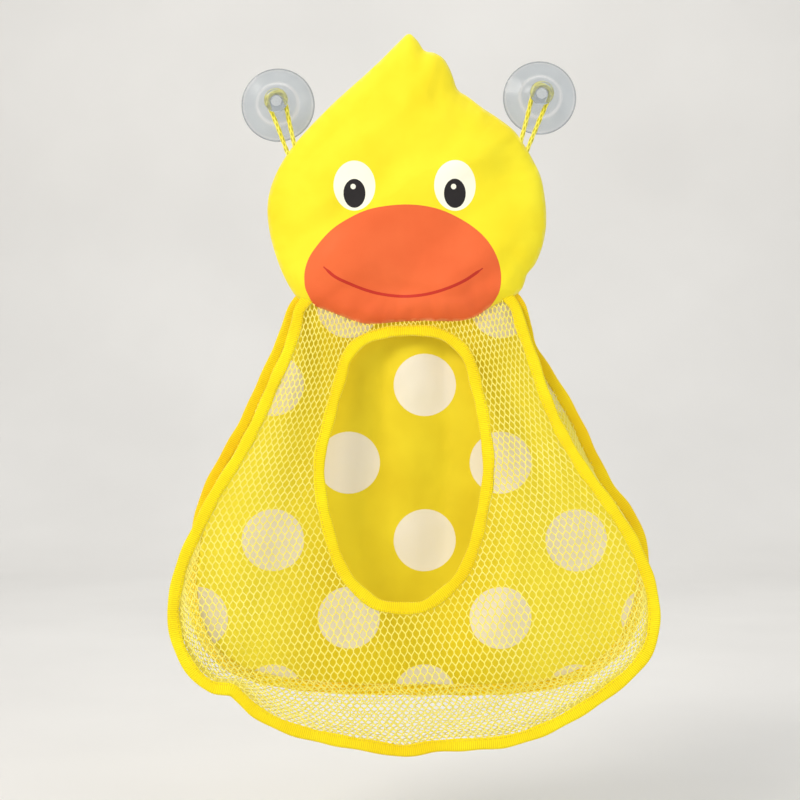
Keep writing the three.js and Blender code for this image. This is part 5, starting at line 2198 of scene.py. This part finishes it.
@dataclass(frozen=True)
class Lamp:
    """A soft square light, which points at the object's middle unless said otherwise."""

    name: str
    place: tuple[float, float, float]
    size: float
    power: float
    tint: str
    aim: tuple[float, float, float] = (0.0, 0.0, -0.18)

    def hang(self) -> None:
        """Put the light into the scene."""
        data = bpy.data.lights.new(self.name, "AREA")
        data.size, data.energy, data.color = self.size, self.power, colour(self.tint)[:3]
        lamp = placed(self.name, data)
        lamp.location = self.place
        way = Vector(self.aim) - Vector(self.place)
        lamp.rotation_euler = way.to_track_quat("-Z", "Y").to_euler()


@dataclass
class Studio:
    """The pale floor that sweeps up into the backdrop, the lights and the camera."""

    floor: float = -0.47
    wall: float = 2.4
    aim: tuple[float, float] = (-5.45 * MM, -183.7 * MM)
    distance: float = 1.0
    view: float = 0.616 * MM * 800
    sweep: float = 0.8
    half_width: float = 4.5
    air: float = 0.48

    def backdrop(self) -> None:
        """Make the floor and backdrop in one sweep."""
        bend = self.sweep
        arc = [
            (self.wall - bend + bend * math.sin(turn), self.floor + bend - bend * math.cos(turn))
            for turn in np.linspace(0, math.pi / 2, 24)
        ]
        profile = [(-3.5, self.floor), (0.0, self.floor), *arc, (self.wall, 3.2)]
        points = [(x, y, z) for y, z in profile for x in (-self.half_width, self.half_width)]
        faces = [(2 * row, 2 * row + 1, 2 * row + 3, 2 * row + 2) for row in range(len(profile) - 1)]
        sweep = mesh_object("backdrop", np.array(points), faces)
        recipe = Recipe("backdrop_paper")
        cloud = recipe.noise(recipe.place(), 3.0)
        tint = recipe.shades(cloud, (0.3, 0.7), 1.0, "eceae6", "e6e4e0")
        sweep.data.materials.append(recipe.finish(Base_Color=tint, Roughness=0.9))

    def build(self) -> None:
        """Set up the whole studio."""
        self.backdrop()
        for lamp in (
            Lamp("key", (-1.15, -1.4, 1.0), 0.8, 29, "fffaf4"),
            Lamp("fill", (1.5, -1.4, 0.2), 1.8, 13, "f6f9ff"),
            Lamp("top", (0.0, 0.4, 1.9), 1.6, 8, "ffffff"),
            Lamp("paper", (0.0, 0.9, 1.6), 2.0, 13, "ffffff", (0.0, self.wall, -0.1)),
        ):
            lamp.hang()
        world = bpy.data.worlds.new("studio_air")
        world.use_nodes = True
        world.node_tree.nodes["Background"].inputs["Color"].default_value = colour("f2f4f6")
        world.node_tree.nodes["Background"].inputs["Strength"].default_value = self.air
        scene = bpy.context.scene
        scene.world = world
        scene.view_settings.view_transform = "Standard"
        data = bpy.data.cameras.new("camera")
        data.sensor_fit = "HORIZONTAL"
        data.sensor_width = data.sensor_height = 36.0
        data.angle = 2 * math.atan(self.view / 2 / self.distance)
        camera = placed("camera", data)
        camera.location = (self.aim[0], -self.distance, self.aim[1])
        camera.rotation_euler = (math.pi / 2, 0, 0)
        scene.camera = camera


def main() -> None:
    """Build the organizer and its studio, and report the pieces."""
    logging.basicConfig(level=logging.INFO, format="%(name)s: %(message)s")
    Studio().build()
    wardrobe = Wardrobe()
    cups = SuctionCups()
    pattern = HeadPattern()
    CordLoops(cups, pattern).build(wardrobe)
    cups.build(wardrobe)
    Head(pattern, cups.loop_depth()).build(wardrobe)
    Bag(BagPattern(pattern, cups.loop_depth())).build(wardrobe)


if __name__ == "__main__":
    main()
